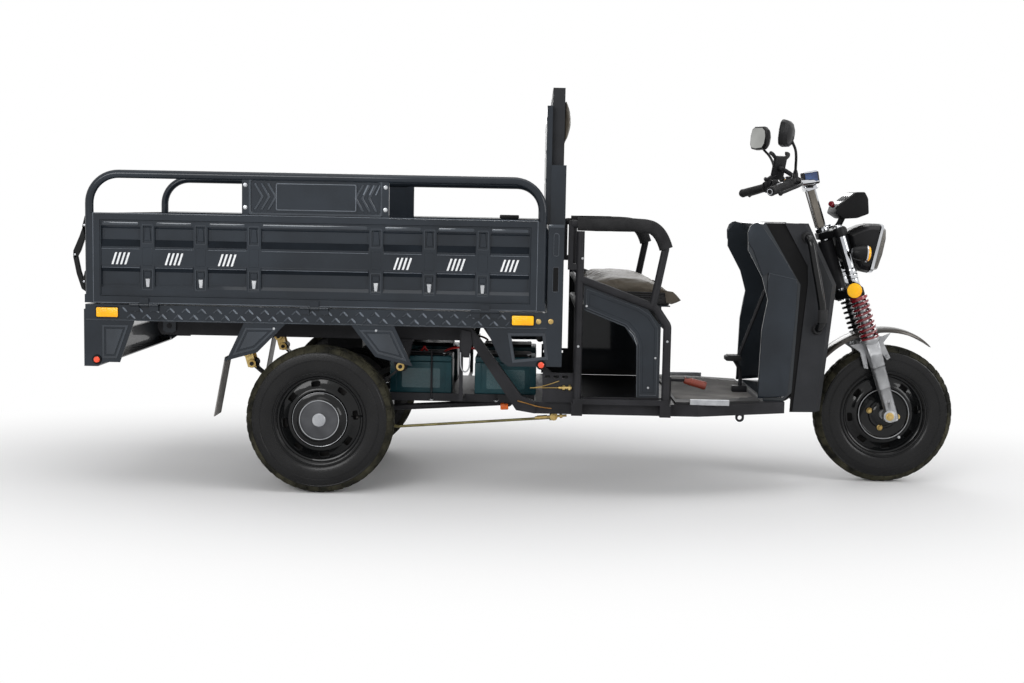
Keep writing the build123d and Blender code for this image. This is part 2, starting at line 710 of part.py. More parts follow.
def footwell_frame():
    """The low frame under the driver's feet, its floor sheet, and the lashing eyes."""
    z0 = footwell_top_z - footwell_depth
    z1 = footwell_top_z
    rim_plan = footwell_plan() - footwell_plan(diagonal_width)
    ring_frame = extrude(Plane.XY.offset(z0) * rim_plan, amount=footwell_depth)
    sheet = extrude(Plane.XY.offset(z1 - 1) * footwell_plan(), amount=floor_plate_sheet + 1)
    frame = joined(ring_frame, sheet)
    for x in (seat_post_x, seat_leg_x):
        frame += block(x - 20, x + 20, -seat_half_width, seat_half_width, z0, floor_sheet_top_z)
    frame += block(seat_leg_x, footwell_front_x - 5, -30, 30, z0, z1)
    outer = tow_eye_radius + tow_eye_wall
    taper = (footwell_half_width - footwell_front_half_width) / (footwell_front_x - footwell_taper_x)
    middle = footwell_half_width - taper * (tow_eye_x - footwell_taper_x) - diagonal_width / 2
    near = middle - tow_eye_thickness / 2
    far = middle + tow_eye_thickness / 2
    lug = rod_y(tow_eye_x, tow_eye_z, outer, near, far)
    lug += block(tow_eye_x - outer, tow_eye_x + outer, near, far, tow_eye_z, z0 + 6)
    lug -= rod_y(tow_eye_x, tow_eye_z, tow_eye_radius, 0, reach)
    return frame + both_sides(lug)


def strut(radius):
    """The bent strut from the footwell up to the head tube, or the room it needs."""
    foot_z = footwell_top_z - footwell_depth / 2
    points = [(-footwell_setback, 0, foot_z), (-348, 0, foot_z), (-280, 0, 368), (-212, 0, 578)]
    return at_front * tube(points, radius, strut_bend)


def head_tube():
    """The head tube and the bent strut that carries it."""
    bottom = lower_clamp_s + clamp_height + 8
    top = top_clamp_s - 8
    middle = Pos(0, 0, (bottom + top) / 2)
    outer = middle * Cylinder(head_tube_radius, top - bottom)
    bore = middle * Cylinder(stem_radius + hinge_clearance, top - bottom + 10)
    return (strut(strut_radius) + steer * outer) - steer * bore


def floor_mat():
    """The ribbed rubber mat on the footwell floor."""
    mat = extrude(Plane.XY.offset(floor_sheet_top_z) * footwell_plan(mat_margin), amount=floor_mat_thickness)
    keep = block(seat_leg_x + 40, footwell_front_x - 100, -reach, reach, -reach, reach)
    return mat & keep


def tray_hanger_span():
    """Where the tray's hangers meet the outriggers, along X."""
    return rail_front_x - 36, rail_front_x - 22


def battery_tray():
    """The open tray that carries the batteries."""
    x0 = tray_rear_x
    x1 = tray_front_x
    y = battery_outer_y + 6
    sheet = block(x0, x1, -y, y, tray_z - 3, tray_z)
    side = block(x0, x1, y - 3, y, tray_z - tray_angle, tray_z)
    low = tray_z - tray_angle
    cross = [block(x - 12, x + 12, -y, y, low, tray_z) for x in (x0 + 12, (x0 + x1) / 2, x1 - 12)]
    hanger_y = outrigger_half_width - 8
    h0, h1 = tray_hanger_span()
    strap = block(h0, h1, y - 3, hanger_y, tray_z - 6, tray_z)
    plate = block(h0, h1, hanger_y - 6, hanger_y, tray_z - 6, tray_hanger_joint_z)
    return joined(sheet, both_sides(side), *cross, both_sides(strap), both_sides(plate))


def batteries():
    """Four battery blocks in the tray."""
    x0 = tray_rear_x + tray_end_gap
    y1 = battery_outer_y
    rear = block(x0, x0 + battery_length, y1 - battery_width, y1, tray_z, tray_z + battery_height)
    return both_sides(rear) + both_sides(Pos(battery_pitch, 0, 0) * rear)


def controller():
    """The motor controller's box, hung from a crossmember."""
    top = rail_top_z - rail_depth + 20
    return at_rear * block(-22, 113, -150, 150, top - controller_height, top)


def drum_inner_face():
    """How far the drum's open face is from the middle of its tyre, towards the vehicle's middle."""
    return -tyre_bead_width / 2 - rim_flange_thickness + disc_inset + disc_thickness + drum_width


def rear_axle():
    """The axle tube with its differential, backing plates and stub shafts."""
    backing = rear_track / 2 - drum_inner_face() - 3
    tube_bar = rod_y(rear_axle_x, 0, axle_tube_radius, -backing + 2, backing - 2)
    housing = Pos(rear_axle_x, 0, 0) * Sphere(differential_radius)
    plate = rod_y(rear_axle_x, 0, drum_radius - 4, backing - 6, backing)
    shaft = rod_y(rear_axle_x, 0, axle_shaft_radius, backing - 10, rear_track / 2 + 40)
    pad_top = spring_pad_z - leaf_thickness * leaf_count
    pad = block(rear_axle_x - 60, rear_axle_x + 60, spring_y - 22, spring_y + 22, 20, pad_top)
    return joined(tube_bar, housing, both_sides(plate), both_sides(shaft), both_sides(pad))


def drive_motor():
    """The drive motor in front of the differential."""
    back = rear_axle_x + differential_radius
    return rod_x(0, 0, motor_radius, back, back + motor_length)


def leaf_spring():
    """The left leaf spring: four leaves, an eye at each end of the main leaf."""
    half = (spring_front_eye_x - spring_rear_eye_x) / 2
    middle = (spring_front_eye_x + spring_rear_eye_x) / 2
    sag = spring_eye_z - spring_pad_z
    radius = (half**2 + sag**2) / (2 * sag)
    centre_z = spring_pad_z + radius
    spring = None
    for number in range(leaf_count):
        share = 1 - 0.86 * number / leaf_count
        angle = atan2(half, centre_z - spring_eye_z) * share
        outer = radius + leaf_thickness * (number + 1)
        inner = outer - leaf_thickness
        z = centre_z
        arc_out = ThreePointArc(
            (middle - outer * sin(angle), z - outer * cos(angle)),
            (middle, z - outer),
            (middle + outer * sin(angle), z - outer * cos(angle)),
        )
        arc_in = ThreePointArc(
            (middle + inner * sin(angle), z - inner * cos(angle)),
            (middle, z - inner),
            (middle - inner * sin(angle), z - inner * cos(angle)),
        )
        edges = arc_out + Line(arc_out @ 1, arc_in @ 0) + arc_in + Line(arc_in @ 1, arc_out @ 0)
        leaf = extrude(Plane.XZ.offset(-spring_y - spring_width / 2) * make_face(edges), amount=spring_width)
        spring = leaf if spring is None else spring + leaf
    for x in (spring_front_eye_x, spring_rear_eye_x):
        eye = rod_y(x, spring_eye_z, 17, spring_y - spring_width / 2, spring_y + spring_width / 2)
        spring += eye
    for x in (spring_front_eye_x, spring_rear_eye_x):
        spring -= rod_y(x, spring_eye_z, 9, 0, reach)
    return spring


def spring_shackle():
    """The left rear shackle, its two bolts, and the hanger above it."""
    y0 = spring_y - spring_width / 2
    y1 = spring_y + spring_width / 2
    top_x = spring_rear_eye_x - 20
    top_z = rail_top_z - rail_depth - 60
    link = None
    for y in (y0 - 7, y1 + 1):
        bar = profile_xz(
            [
                (spring_rear_eye_x - 16, spring_eye_z - 15),
                (spring_rear_eye_x + 16, spring_eye_z - 15),
                (top_x + 16, top_z + 14),
                (top_x - 16, top_z + 14),
            ],
            y,
            y + 6,
        )
        link = bar if link is None else link + bar
    low_bolt = rod_y(spring_rear_eye_x, spring_eye_z, 9, y0 - 12, y1 + 12)
    high_bolt = rod_y(top_x, top_z, 9, y0 - 12, y1 + 12)
    hanger = block(top_x - 16, top_x + 16, y0 + 5, y1 - 5, top_z - 14, rail_top_z - rail_depth)
    return joined(link, low_bolt, high_bolt, hanger)


def u_bolts():
    """The U-bolts that clamp the left spring to its axle pad."""
    top = spring_pad_z + 12
    low = -axle_tube_radius - 16
    clamp = None
    for x in (rear_axle_x - 42, rear_axle_x + 42):
        for y in (spring_y - spring_width / 2 - 7, spring_y + spring_width / 2 + 7):
            leg = Pos(x, y, (top + low) / 2) * Cylinder(6, top - low)
            clamp = leg if clamp is None else clamp + leg
    y0 = spring_y - spring_width / 2 - 14
    y1 = spring_y + spring_width / 2 + 14
    upper = block(rear_axle_x - 54, rear_axle_x + 54, y0, y1, top - 7, top - 1)
    lower = block(rear_axle_x - 54, rear_axle_x + 54, y0, y1, low + 2, low + 14)
    return joined(clamp, upper, lower)


def brake_rods():
    """The brake rod with its arms, and the torque tube beside it, under the chassis."""
    rear_y = rear_track / 2 - brake_rod_inset
    front_y = footwell_half_width - diagonal_width - 22
    front_x = footwell_rear_x + 70
    lever_x = rear_axle_x + 274
    cam_x = rear_axle_x + 60
    backing_y = rear_track / 2 - drum_inner_face() - 3
    rod = tube([(lever_x, -rear_y, -36), (front_x, -front_y, 10)], 5)
    corners = [(front_x - 16, 0), (front_x + 8, 0), (front_x + 12, 62), (front_x - 14, 62)]
    arm = profile_xz(corners, -front_y - 4, -front_y + 4)
    arm += rod_y(front_x - 1, 53, 8, -(footwell_half_width - diagonal_width), -front_y - 4)
    cam = tube([(lever_x, -rear_y, -36), (lever_x - 66, -rear_y, -22), (cam_x, -rear_y, -10)], 6, 20)
    cam += rod_y(cam_x, -10, 8, -backing_y + 6, -rear_y)
    torque_y = rail_y - 80
    torque_x = footwell_rear_x - 102
    torque = tube([(lever_x - 13, -torque_y, 18), (torque_x, -torque_y, 46)], 12)
    torque += tube([(lever_x - 13, -torque_y, 18), (rear_axle_x + 10, -torque_y, 13)], 10)
    torque += rod_y(torque_x, 46, 16, -torque_y - 14, -torque_y + 14)
    torque += block(torque_x - 18, torque_x + 16, -torque_y - 4, -torque_y + 4, 46, tray_z - 3)
    return joined(rod, cam, arm), torque - rear_axle()


# ------------------------------------------------------------------ seat
def cable_plate():
    """The slotted plate behind the left seat post, where the cable ends are held."""
    z0 = seat_base_z + 1
    z1 = z0 + cable_plate_height
    x1 = seat_post_x - seat_tube_radius / 2
    y0 = seat_half_width - 2 * seat_tube_radius + 3
    corners = [(cable_plate_x, z0), (cable_plate_x, z1), (cable_plate_x + 18, z1), (cable_plate_x + 34, z1 - 16)]
    corners += [(x1, z1 - 16), (x1, z0)]
    plate = profile_xz(corners, y0, y0 + cable_plate_sheet)
    for number in range(3):
        x = cable_plate_x + 18 + cable_slot_pitch * number
        plate -= block(x - 10, x + 10, 0, reach, z1 - 36, z1 - 26)
    return plate


def seat_frame():
    """The bench's tube frame with its base rails and armrests."""
    y = seat_half_width - seat_tube_radius
    r = seat_tube_radius
    z0 = seat_base_z + 1
    cross_z = seat_deck_z - 72
    post = tube([(seat_post_x, y, z0), (seat_post_x, y, seat_post_top_z)], r)
    leg = tube(
        [
            (seat_post_x, y, seat_rail_high_z),
            (seat_leg_x - 45, y, seat_rail_low_z),
            (seat_leg_x, y, cross_z),
            (seat_leg_x, y, z0),
        ],
        r,
        2 * r,
    )
    base = block(seat_post_x - r, seat_leg_x + r, y - r, y + r, seat_base_z - 1, seat_base_z + 19)
    frame = both_sides(joined(post, leg, base, cable_plate()))
    for x, z in ((seat_post_x, seat_deck_z - 20), (seat_leg_x - 10, cross_z), (seat_post_x, seat_deck_z + 68)):
        frame += tube([(x, -y, z), (x, y, z)], 12)
    return frame + both_sides(armrest())


def seat_box():
    """The panels that close the bench, open on the right only, and the deck for the cushion."""
    y1 = seat_half_width - 2 * seat_tube_radius - 2
    y0 = y1 - seat_deck_sheet
    back_x = seat_post_x + seat_tube_radius + 2
    front_x = seat_leg_x - 22
    bottom = seat_base_z + 22
    shoulder = seat_deck_z - 76
    side = profile_xz(
        [
            (back_x, seat_rail_high_z - 22),
            (seat_leg_x - 72, seat_rail_low_z - 5),
            (front_x, shoulder),
            (front_x, bottom),
            (front_x - 83, bottom),
            (front_x - 88, seat_deck_z - 144),
            (front_x - 132, seat_deck_z - 79),
            (back_x, seat_deck_z - 20),
        ],
        y0,
        y1,
    )
    left_closing = profile_xz(
        [
            (back_x, seat_deck_z - 18),
            (front_x - 130, seat_deck_z - 77),
            (front_x - 86, seat_deck_z - 143),
            (front_x - 81, bottom),
            (back_x, bottom),
        ],
        y0,
        y1,
    )
    front = block(front_x - 4, front_x, -y1, y1, bottom, seat_deck_z - 2)
    deck = block(back_x, seat_leg_x + 10, -y0, y0, seat_deck_z - seat_deck_sheet, seat_deck_z)
    return joined(both_sides(side), left_closing, front, deck)


def seat_cushion():
    """The bench cushion."""
    x0 = seat_post_x + seat_tube_radius + 3
    z0 = seat_deck_z + seat_clearance
    outline = (
        Line((x0, z0), (x0 + 334, z0))
        + ThreePointArc((x0 + 334, z0), (x0 + 358, z0 + 16), (x0 + 348, z0 + 42))
        + ThreePointArc((x0 + 348, z0 + 42), (x0 + 280, z0 + 100), (x0 + 190, z0 + 115))
        + Line((x0 + 190, z0 + 115), (x0 + 40, z0 + 112))
        + ThreePointArc((x0 + 40, z0 + 112), (x0 + 6, z0 + 100), (x0, z0 + 68))
        + Line((x0, z0 + 68), (x0, z0))
    )
    half = cushion_half_width
    return extrude(Plane.XZ.offset(-half) * make_face(outline), amount=2 * half)


def armrest_path():
    """The armrest tube's centre line, from the back bar round and down to the bench."""
    y = armrest_y
    drop = armrest_z - 74
    points = [(-32, y, armrest_z), (258, y, armrest_z), (310, y, drop), (268, y, seat_deck_z)]
    return [(seat_post_x + x, y, z) for x, y, z in points]


def armrest():
    """The left armrest's tube with its rear flat bar."""
    y = armrest_y
    x0 = seat_post_x - 44
    bar = block(x0, x0 + 18, y - 8, y + 8, armrest_z - 166, armrest_z + 12)
    link = block(x0, seat_post_x, y - 6, y + 6, armrest_z - 166, armrest_z - 144)
    return joined(tube(armrest_path(), armrest_tube_radius, armrest_bend), bar, link)


def armrest_foam():
    """The foam sleeve on the left armrest."""
    points = armrest_path()
    start = (seat_post_x - 14, armrest_y, armrest_z)
    end = (points[2][0] + 6, armrest_y, points[2][2] - 8)
    foam = tube([start, points[1], end], armrest_foam_radius, armrest_bend)
    return foam - tube(points, armrest_tube_radius, armrest_bend)


# ------------------------------------------------------------------ leg shield and fairing
def leg_shield():
    """The black inner shield in front of the driver's legs, with its side wings."""
    inner = shield_half_width - shield_wall
    wall = profile_xz(
        [(-413, 80), (-383, 108), (-364, 518), (-504, 748), (-512, 742), (-374, 516), (-393, 114), (-417, 88)],
        -inner,
        inner,
    )
    wing = profile_xz(
        [
            (-388, 112),
            (-370, 516),
            (-506, 740),
            (-536, 746),
            (-566, 708),
            (-566, 645),
            (-510, 543),
            (-486, 459),
            (-505, 346),
            (-512, 100),
        ],
        inner,
        shield_half_width,
    )
    foot = block(-492, -414, -shield_half_width, shield_half_width, floor_sheet_top_z, 88)
    return at_front * joined(wall, both_sides(wing), foot)


def leg_cover():
    """The left painted cover over the leg shield's wing."""
    y0 = shield_half_width + seat_clearance
    return at_front * profile_xz(
        [
            (-536, 750),
            (-519, 739),
            (-432, 618),
            (-377, 525),
            (-399, 109),
            (-413, 96),
            (-513, 86),
            (-505, 346),
            (-486, 459),
            (-512, 541),
            (-568, 645),
            (-570, 712),
        ],
        y0,
        y0 + cover_thickness,
    )


def fairing_section(z, front, cheek, back, inset=0.0):
    """The fairing's outline at one height: its back edge, cheek and nose, drawn in by the inset."""
    half = shield_half_width - 12
    corners = [(back, half), (cheek - 20, half - 10), (cheek, half - 38)]
    corners += [(cheek - 10, half - 58), (front, half - 88)]
    points = [(x - inset, y - inset) for x, y in corners]
    points[0] = (back, half - inset)
    points += [(x, -y) for x, y in reversed(points)]
    return Plane.XY.offset(z) * make_face(Polyline(*points, close=True))


def front_fairing():
    """The matt shell in front of the leg shield, with a channel for the strut and the head tube."""
    wall = fairing_wall
    outer = loft([fairing_section(34, -314, -268, -386.1), fairing_section(518, -282, -223, -363.7)])
    outer += loft([fairing_section(518, -282, -223, -363.7), fairing_section(746, -362, -336, -502.4)])
    cavity = loft([fairing_section(28, -314, -268, -472, wall), fairing_section(518, -282, -223, -472, wall)])
    cavity += loft([fairing_section(518, -282, -223, -472, wall), fairing_section(738, -362, -336, -672, wall)])
    collar = steer * (Pos(0, 0, 620) * Cylinder(head_tube_radius + 4, 300))
    return at_front * (outer - cavity) - strut(strut_radius + 4) - collar


def crash_bar():
    """The left guard tube beside the fairing, its ends let into the fairing's side."""
    y = shield_half_width + 6
    root = shield_half_width - 16
    points = [
        (-366, root, 690),
        (-360, y, 678),
        (-306, y, 628),
        (-256, y, 428),
        (-268, y, 368),
        (-314, y, 356),
        (-332, root, 368),
    ]
    bar = at_front * tube(points, crash_bar_radius, crash_bar_radius + 0.5) - front_fairing()
    return bar.solids().sort_by(SortBy.VOLUME)[-1]


def brake_pedal():
    """The foot brake: a bent lever from the leg shield with its pad."""
    lever = tube([(-371, -100, 510), (-463, -100, 494), (-560, -100, 228)], 7, 30)
    pad = block(-602, -557, -130, -70, 214, 230)
    return at_front * (lever + pad) - leg_shield()


def parking_lever():
    """The parking brake lever beside the bench."""
    base = block(15, 30, -12, 12, floor_plate_sheet, 95)
    rod = tube([(22, 0, 85), (90, 0, 84)], 6)
    grip = tube([(83, 0, 85), (159, 0, 63)], 13)
    return Pos(seat_leg_x, -parking_lever_y, footwell_top_z) * joined(base, rod, grip)


# ------------------------------------------------------------------ steering
def fork():
    """Clamps, steering stem and the upper fork tubes."""
    low = Box(fork_offset + 60, 2 * fork_half_spacing + 50, clamp_height)
    low = Pos(fork_offset / 2, 0, lower_clamp_s + clamp_height / 2) * low
    top = Box(fork_offset + 50, 2 * fork_half_spacing + 46, clamp_height)
    top = Pos(fork_offset / 2, 0, top_clamp_s + clamp_height / 2) * top
    stem = Pos(0, 0, (lower_clamp_s + handlebar_s) / 2) * Cylinder(stem_radius, handlebar_s - lower_clamp_s)
    clamp = Pos(0, 0, handlebar_s) * Box(44, 70, 44)
    bars = joined(low, top, stem, clamp)
    for side in (-1, 1):
        y = side * fork_half_spacing
        length = top_clamp_s + clamp_height + 6 - leg_top_s
        bars += Pos(fork_offset, y, leg_top_s + length / 2) * Cylinder(fork_tube_radius, length)
    return steer * bars - handlebar()


def fork_legs():
    """The lower fork legs with the wheel axle through their ends."""
    legs = None
    axle_local_x = axle_offset * cos(radians(rake_angle))
    axle_local_z = -axle_offset * sin(radians(rake_angle))
    for side in (-1, 1):
        y = side * fork_half_spacing
        bottom = axle_local_z - 26
        leg = Pos(fork_offset, y, (bottom + leg_top_s) / 2) * Cylinder(fork_leg_radius, leg_top_s - bottom)
        lug = Pos(axle_local_x + 4, y, axle_local_z) * Rot(90, 0, 0) * Cylinder(24, 36)
        collar = Pos(fork_offset, y, leg_top_s - 6) * Cylinder(fork_spring_radius + 3, 12)
        ear = Pos(fork_offset - 34, y, 210) * Box(30, 16, 60)
        piece = joined(leg, lug, collar, ear)
        legs = piece if legs is None else legs + piece
    legs = steer * legs
    axle = rod_y(front_axle_x, 0, axle_shaft_radius, -fork_half_spacing - 34, fork_half_spacing + 34)
    return legs + axle


def fork_springs():
    """The coil springs round the upper fork tubes, as plain sleeves with turned grooves."""
    springs = None
    bottom = leg_top_s
    top = lower_clamp_s
    pitch = (top - bottom) / fork_spring_turns
    coil_radius = fork_spring_radius - fork_spring_wire / 2
    for side in (-1, 1):
        sleeve = Pos(0, 0, (bottom + top) / 2) * Cylinder(coil_radius, top - bottom)
        for number in range(fork_spring_turns):
            sleeve += Pos(0, 0, bottom + (number + 0.5) * pitch) * Torus(coil_radius, fork_spring_wire / 2)
        sleeve -= Pos(0, 0, (bottom + top) / 2) * Cylinder(fork_tube_radius, top - bottom + 2)
        sleeve = Pos(fork_offset, side * fork_half_spacing, 0) * sleeve
        springs = sleeve if springs is None else springs + sleeve
    return steer * springs


def front_fender():
    """The front mudguard, an arc about the wheel with turned-down edges, held by the fork's collars."""
    inner = fender_inner_radius
    outer = inner + fender_sheet
    half = fork_half_spacing - fork_spring_radius - 3
    across = Rot(90, 0, 0)
    band = across * (Cylinder(outer, 2 * half) - Cylinder(inner, 2 * half + 2))
    lip = across * (Cylinder(outer, 2 * half) - Cylinder(inner - fender_lip, 2 * half + 2))
    lip -= across * Cylinder(outer + 5, 2 * half - fender_sheet)
    front = radians(fender_front_angle)
    tip = (2 * outer * cos(front), 2 * outer * sin(front))
    keep = profile_xz([(0, 0), tip, (0, 800), (-700, 800), (-700, 225)], -reach, reach)
    return Pos(front_axle_x, 0, 0) * ((band + lip) & keep)


def headlight():
    """The headlight housing on its bracket from the top clamp."""
    half = fork_half_spacing - fork_tube_radius - 5
    back = profile_xz([(74, 31), (120, 56), (142, 59), (142, -125), (114, -118), (74, -56)], -half, half)
    front = profile_xz(
        [(120, 55), (174, 65), (218, 58), (186, -123), (167, -136), (120, -119)], -headlight_half, headlight_half
    )
    front = fillet(front.edges().filter_by(Axis.Y), 7)
    gap = head_tube_radius + moving_clearance
    bracket = steer * block(gap, gap + 50, -25, 25, top_clamp_s - 34, top_clamp_s)
    return at_clamp * (front + back) + bracket


def headlight_lens():
    """The headlight's lens, leaning forwards at its top."""
    half = headlight_half - 8
    return at_clamp * profile_xz([(218.5, 56), (230, 48), (199, -123), (187, -121)], -half, half)


def instrument_pod():
    """The instrument housing above the headlight, on a leg from the top clamp."""
    pod = profile_xz(
        [(21, 121), (92, 186), (124, 187), (138, 172), (142, 137), (140, 97), (91, 78), (47, 101)], -88, 88
    )
    pod = at_clamp * fillet(pod.edges().filter_by(Axis.Y), 6)
    leg = at_clamp * block(28, 58, -30, 30, 29, 109) - fork()
    return pod + leg.solids().sort_by(Axis.Z)[-1]


def handlebar(radius=handlebar_radius):
    """The swept-back handlebar, or the room it needs when the radius is larger."""
    half = [(-214, 372, -37), (-122, 250, -8), (0, 95, 10)]
    points = half + [(x, -y, z) for x, y, z in reversed(half)]
    return at_bars * tube(points, radius, 40)


def handlebar_grips():
    """The rubber grips on both ends of the handlebar."""
    grip = at_bars * tube([(-210, 367, -36), (-127, 256, -9.5)], grip_radius)
    return both_sides(grip) - handlebar(handlebar_radius + hinge_clearance)


def mirrors():
    """The two mirrors on their stems."""
    stem = tube([(-95, 228, 9), (-105, 300, 119), (-130, 350, 169)], 5, 30)
    foot = Pos(-95, 222, 1) * Cylinder(14, 34)
    head = fillet(Box(36, 130, 96).edges().filter_by(Axis.X), 30)
    head = Pos(-148, 350, 179) * Rot(0, -8, 0) * head
    return both_sides(at_bars * joined(stem, foot, head)) - handlebar(handlebar_radius + hinge_clearance)


def turn_signals():
    """The amber turn signals on stalks from the headlight's sides."""
    side = headlight_half
    lamp = block(88, 148, side + 16, side + 80, -81, -19)
    stalk = rod_y(118, -50, 9, side, side + 20)
    return both_sides(at_clamp * (lamp + stalk))


def phone_holder():
    """The display box and the phone clamp on the handlebar."""
    display = at_bars * block(-36, 20, -98, -35, 25, 55)
    holder = block(-132, -118, 20, 100, 19, 114)
    arm = tube([(-122, 60, 49), (-40, 60, 24), (-5, 60, 14)], 8, 20)
    return display, at_bars * (holder + arm) - handlebar(handlebar_radius + hinge_clearance)


# ------------------------------------------------------------------ nodes
wheel_side = {"rear_right": -1, "rear_left": 1}
nodes = {}
for name, side in wheel_side.items():
    place = Pos(rear_axle_x, side * rear_track / 2, 0)
    turn = Rot(0, 0, 0) if side < 0 else Rot(0, 0, 180)
    nodes[f"tyre_{name}"] = place * tyre()
    nodes[f"wheel_{name}"] = place * turn * rear_wheel()
nodes["tyre_front"] = Pos(front_axle_x, 0, 0) * tyre()
nodes["wheel_front"] = Pos(front_axle_x, 0, 0) * front_wheel()

nodes["bed_floor"] = bed_floor()
nodes["side_frame_left"] = side_frame()
nodes["side_frame_right"] = mirror(side_frame(), about=Plane.XZ)
nodes["side_panel_left"] = side_panel()
nodes["side_panel_right"] = mirror(side_panel(), about=Plane.XZ)
nodes["tailgate"] = tailgate()
nodes["tailgate_latches"] = both_sides(tailgate_latch())
nodes["rear_bumper"] = rear_bumper()
nodes["headboard"] = headboard()
nodes["back_pad"] = back_pad()
nodes["back_cushion"] = back_cushion()
nodes["wheel_guards"] = wheel_guards()
nodes["mud_flaps"] = mud_flaps()
nodes["tail_lamps"] = red_lamps()
nodes["side_reflectors"] = amber_reflectors()

nodes["chassis_frame"] = chassis_frame()
nodes["footwell_frame"] = footwell_frame()
nodes["head_tube"] = head_tube()
nodes["floor_mat"] = floor_mat()
nodes["battery_tray"] = battery_tray()
nodes["batteries"] = batteries()
nodes["controller"] = controller()
nodes["rear_axle"] = rear_axle()
nodes["drive_motor"] = drive_motor()
nodes["leaf_springs"] = both_sides(leaf_spring())
nodes["spring_shackles"] = both_sides(spring_shackle())
nodes["spring_u_bolts"] = both_sides(u_bolts())
nodes["brake_rod"], nodes["torque_rod"] = brake_rods()
nodes["seat_frame"] = seat_frame()
nodes["seat_box"] = seat_box()
nodes["seat_cushion"] = seat_cushion()
nodes["armrest_foam"] = both_sides(armrest_foam())
nodes["leg_shield"] = leg_shield()
nodes["leg_covers"] = both_sides(leg_cover())
nodes["front_fairing"] = front_fairing()
nodes["crash_bars"] = both_sides(crash_bar())
nodes["brake_pedal"] = brake_pedal()
nodes["parking_lever"] = parking_lever()

nodes["fork"] = fork()
nodes["fork_legs"] = fork_legs()
nodes["fork_springs"] = fork_springs()
nodes["front_fender"] = front_fender()
nodes["headlight"] = headlight()
nodes["headlight_lens"] = headlight_lens()
nodes["instrument_pod"] = instrument_pod()
nodes["handlebar"] = handlebar()
nodes["handlebar_grips"] = handlebar_grips()
nodes["mirrors"] = mirrors()
nodes["turn_signals"] = turn_signals()
nodes["display_box"], nodes["phone_holder"] = phone_holder()

on_ground = Pos(0, 0, tyre_diameter / 2)
os.makedirs("parts", exist_ok=True)
for name, shape in nodes.items():
    export_step(on_ground * shape, f"parts/{name}.step")
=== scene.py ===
# %% [markdown]
# A cargo tricycle is a kit of plain things: tubes, pressed sheets, moulded shells, cast brackets,
# springs and tyres. The solid model already holds the working sizes and the joints. This lesson
# dresses it: it keeps what is right, rebuilds what needs finer form, and gives every surface the
# finish that the real material has. Loading the frame comes first.

# %% Load the frame
import bmesh
import bpy
from math import atan2, cos, hypot, pi, radians, sin, tau
from mathutils import Matrix, Vector, noise


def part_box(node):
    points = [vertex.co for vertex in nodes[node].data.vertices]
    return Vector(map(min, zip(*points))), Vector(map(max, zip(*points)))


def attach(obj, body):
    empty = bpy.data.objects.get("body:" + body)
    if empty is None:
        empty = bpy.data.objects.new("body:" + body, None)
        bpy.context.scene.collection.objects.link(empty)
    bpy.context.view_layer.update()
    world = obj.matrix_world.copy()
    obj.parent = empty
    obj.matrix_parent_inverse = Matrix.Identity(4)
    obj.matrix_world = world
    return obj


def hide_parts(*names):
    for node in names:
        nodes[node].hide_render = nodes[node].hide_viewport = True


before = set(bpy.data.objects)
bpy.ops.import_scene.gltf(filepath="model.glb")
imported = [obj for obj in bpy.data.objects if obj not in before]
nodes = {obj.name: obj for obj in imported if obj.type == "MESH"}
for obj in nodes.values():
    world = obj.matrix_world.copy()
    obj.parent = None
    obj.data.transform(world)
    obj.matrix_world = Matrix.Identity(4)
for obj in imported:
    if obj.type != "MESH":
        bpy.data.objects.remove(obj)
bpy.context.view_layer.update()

print("pieces in the frame:", len(nodes))


def middle(name):
    """The middle of a node's box, in metres."""
    low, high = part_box(name)
    return (low + high) / 2


# %% [markdown]
# The camera stands at the height of the handlebar, about five and a half metres out to the right of
# the vehicle, with a normal lens, level but for a small tilt. From there the near side hides the far
# side, and the perspective still shows a little of the far hoop and mirror.

# %% Camera
eye = Vector((0.0065, -5.641, 1.06))
yaw, pitch, roll = radians(0.84), radians(5.4), radians(1.1)
forward = Vector((-sin(yaw) * cos(pitch), cos(yaw) * cos(pitch), -sin(pitch)))
level_right = Vector((cos(yaw), sin(yaw), 0))
level_up = level_right.cross(forward)
right = cos(roll) * level_right + sin(roll) * level_up
up = cos(roll) * level_up - sin(roll) * level_right
camera_data = bpy.data.cameras.new("camera")
camera_data.lens = 50
camera_data.sensor_width = 36
camera = bpy.data.objects.new("camera", camera_data)
camera.matrix_world = Matrix((
    (right.x, up.x, -forward.x, eye.x),
    (right.y, up.y, -forward.y, eye.y),
    (right.z, up.z, -forward.z, eye.z),
    (0, 0, 0, 1),
))
bpy.context.scene.collection.objects.link(camera)
bpy.context.scene.camera = camera
bpy.context.scene.view_settings.view_transform = "Standard"
print("camera is", round(-eye.y, 2), "m from the middle plane")

# %% [markdown]
# A product studio lights such a dark, glossy thing with big soft boxes: one overhead and forward,
# one on each side, and a pale room. The boxes are what the paint and the chrome mirror, so their
# size matters more than their power. The floor is near white and keeps the soft shadow, and camera,
# glossy and transmission rays see a white backdrop.

# %% Lights, floor and backdrop
def soft_box(name, place, aim, width, height, power):
    """A rectangular lamp at a place, turned to face the aim point."""
    lamp = bpy.data.lights.new(name, "AREA")
    lamp.shape = "RECTANGLE"
    lamp.size, lamp.size_y, lamp.energy = width, height, power
    holder = bpy.data.objects.new(name, lamp)
    holder.location = place
    holder.rotation_euler = (Vector(aim) - Vector(place)).to_track_quat("-Z", "Y").to_euler()
    bpy.context.scene.collection.objects.link(holder)


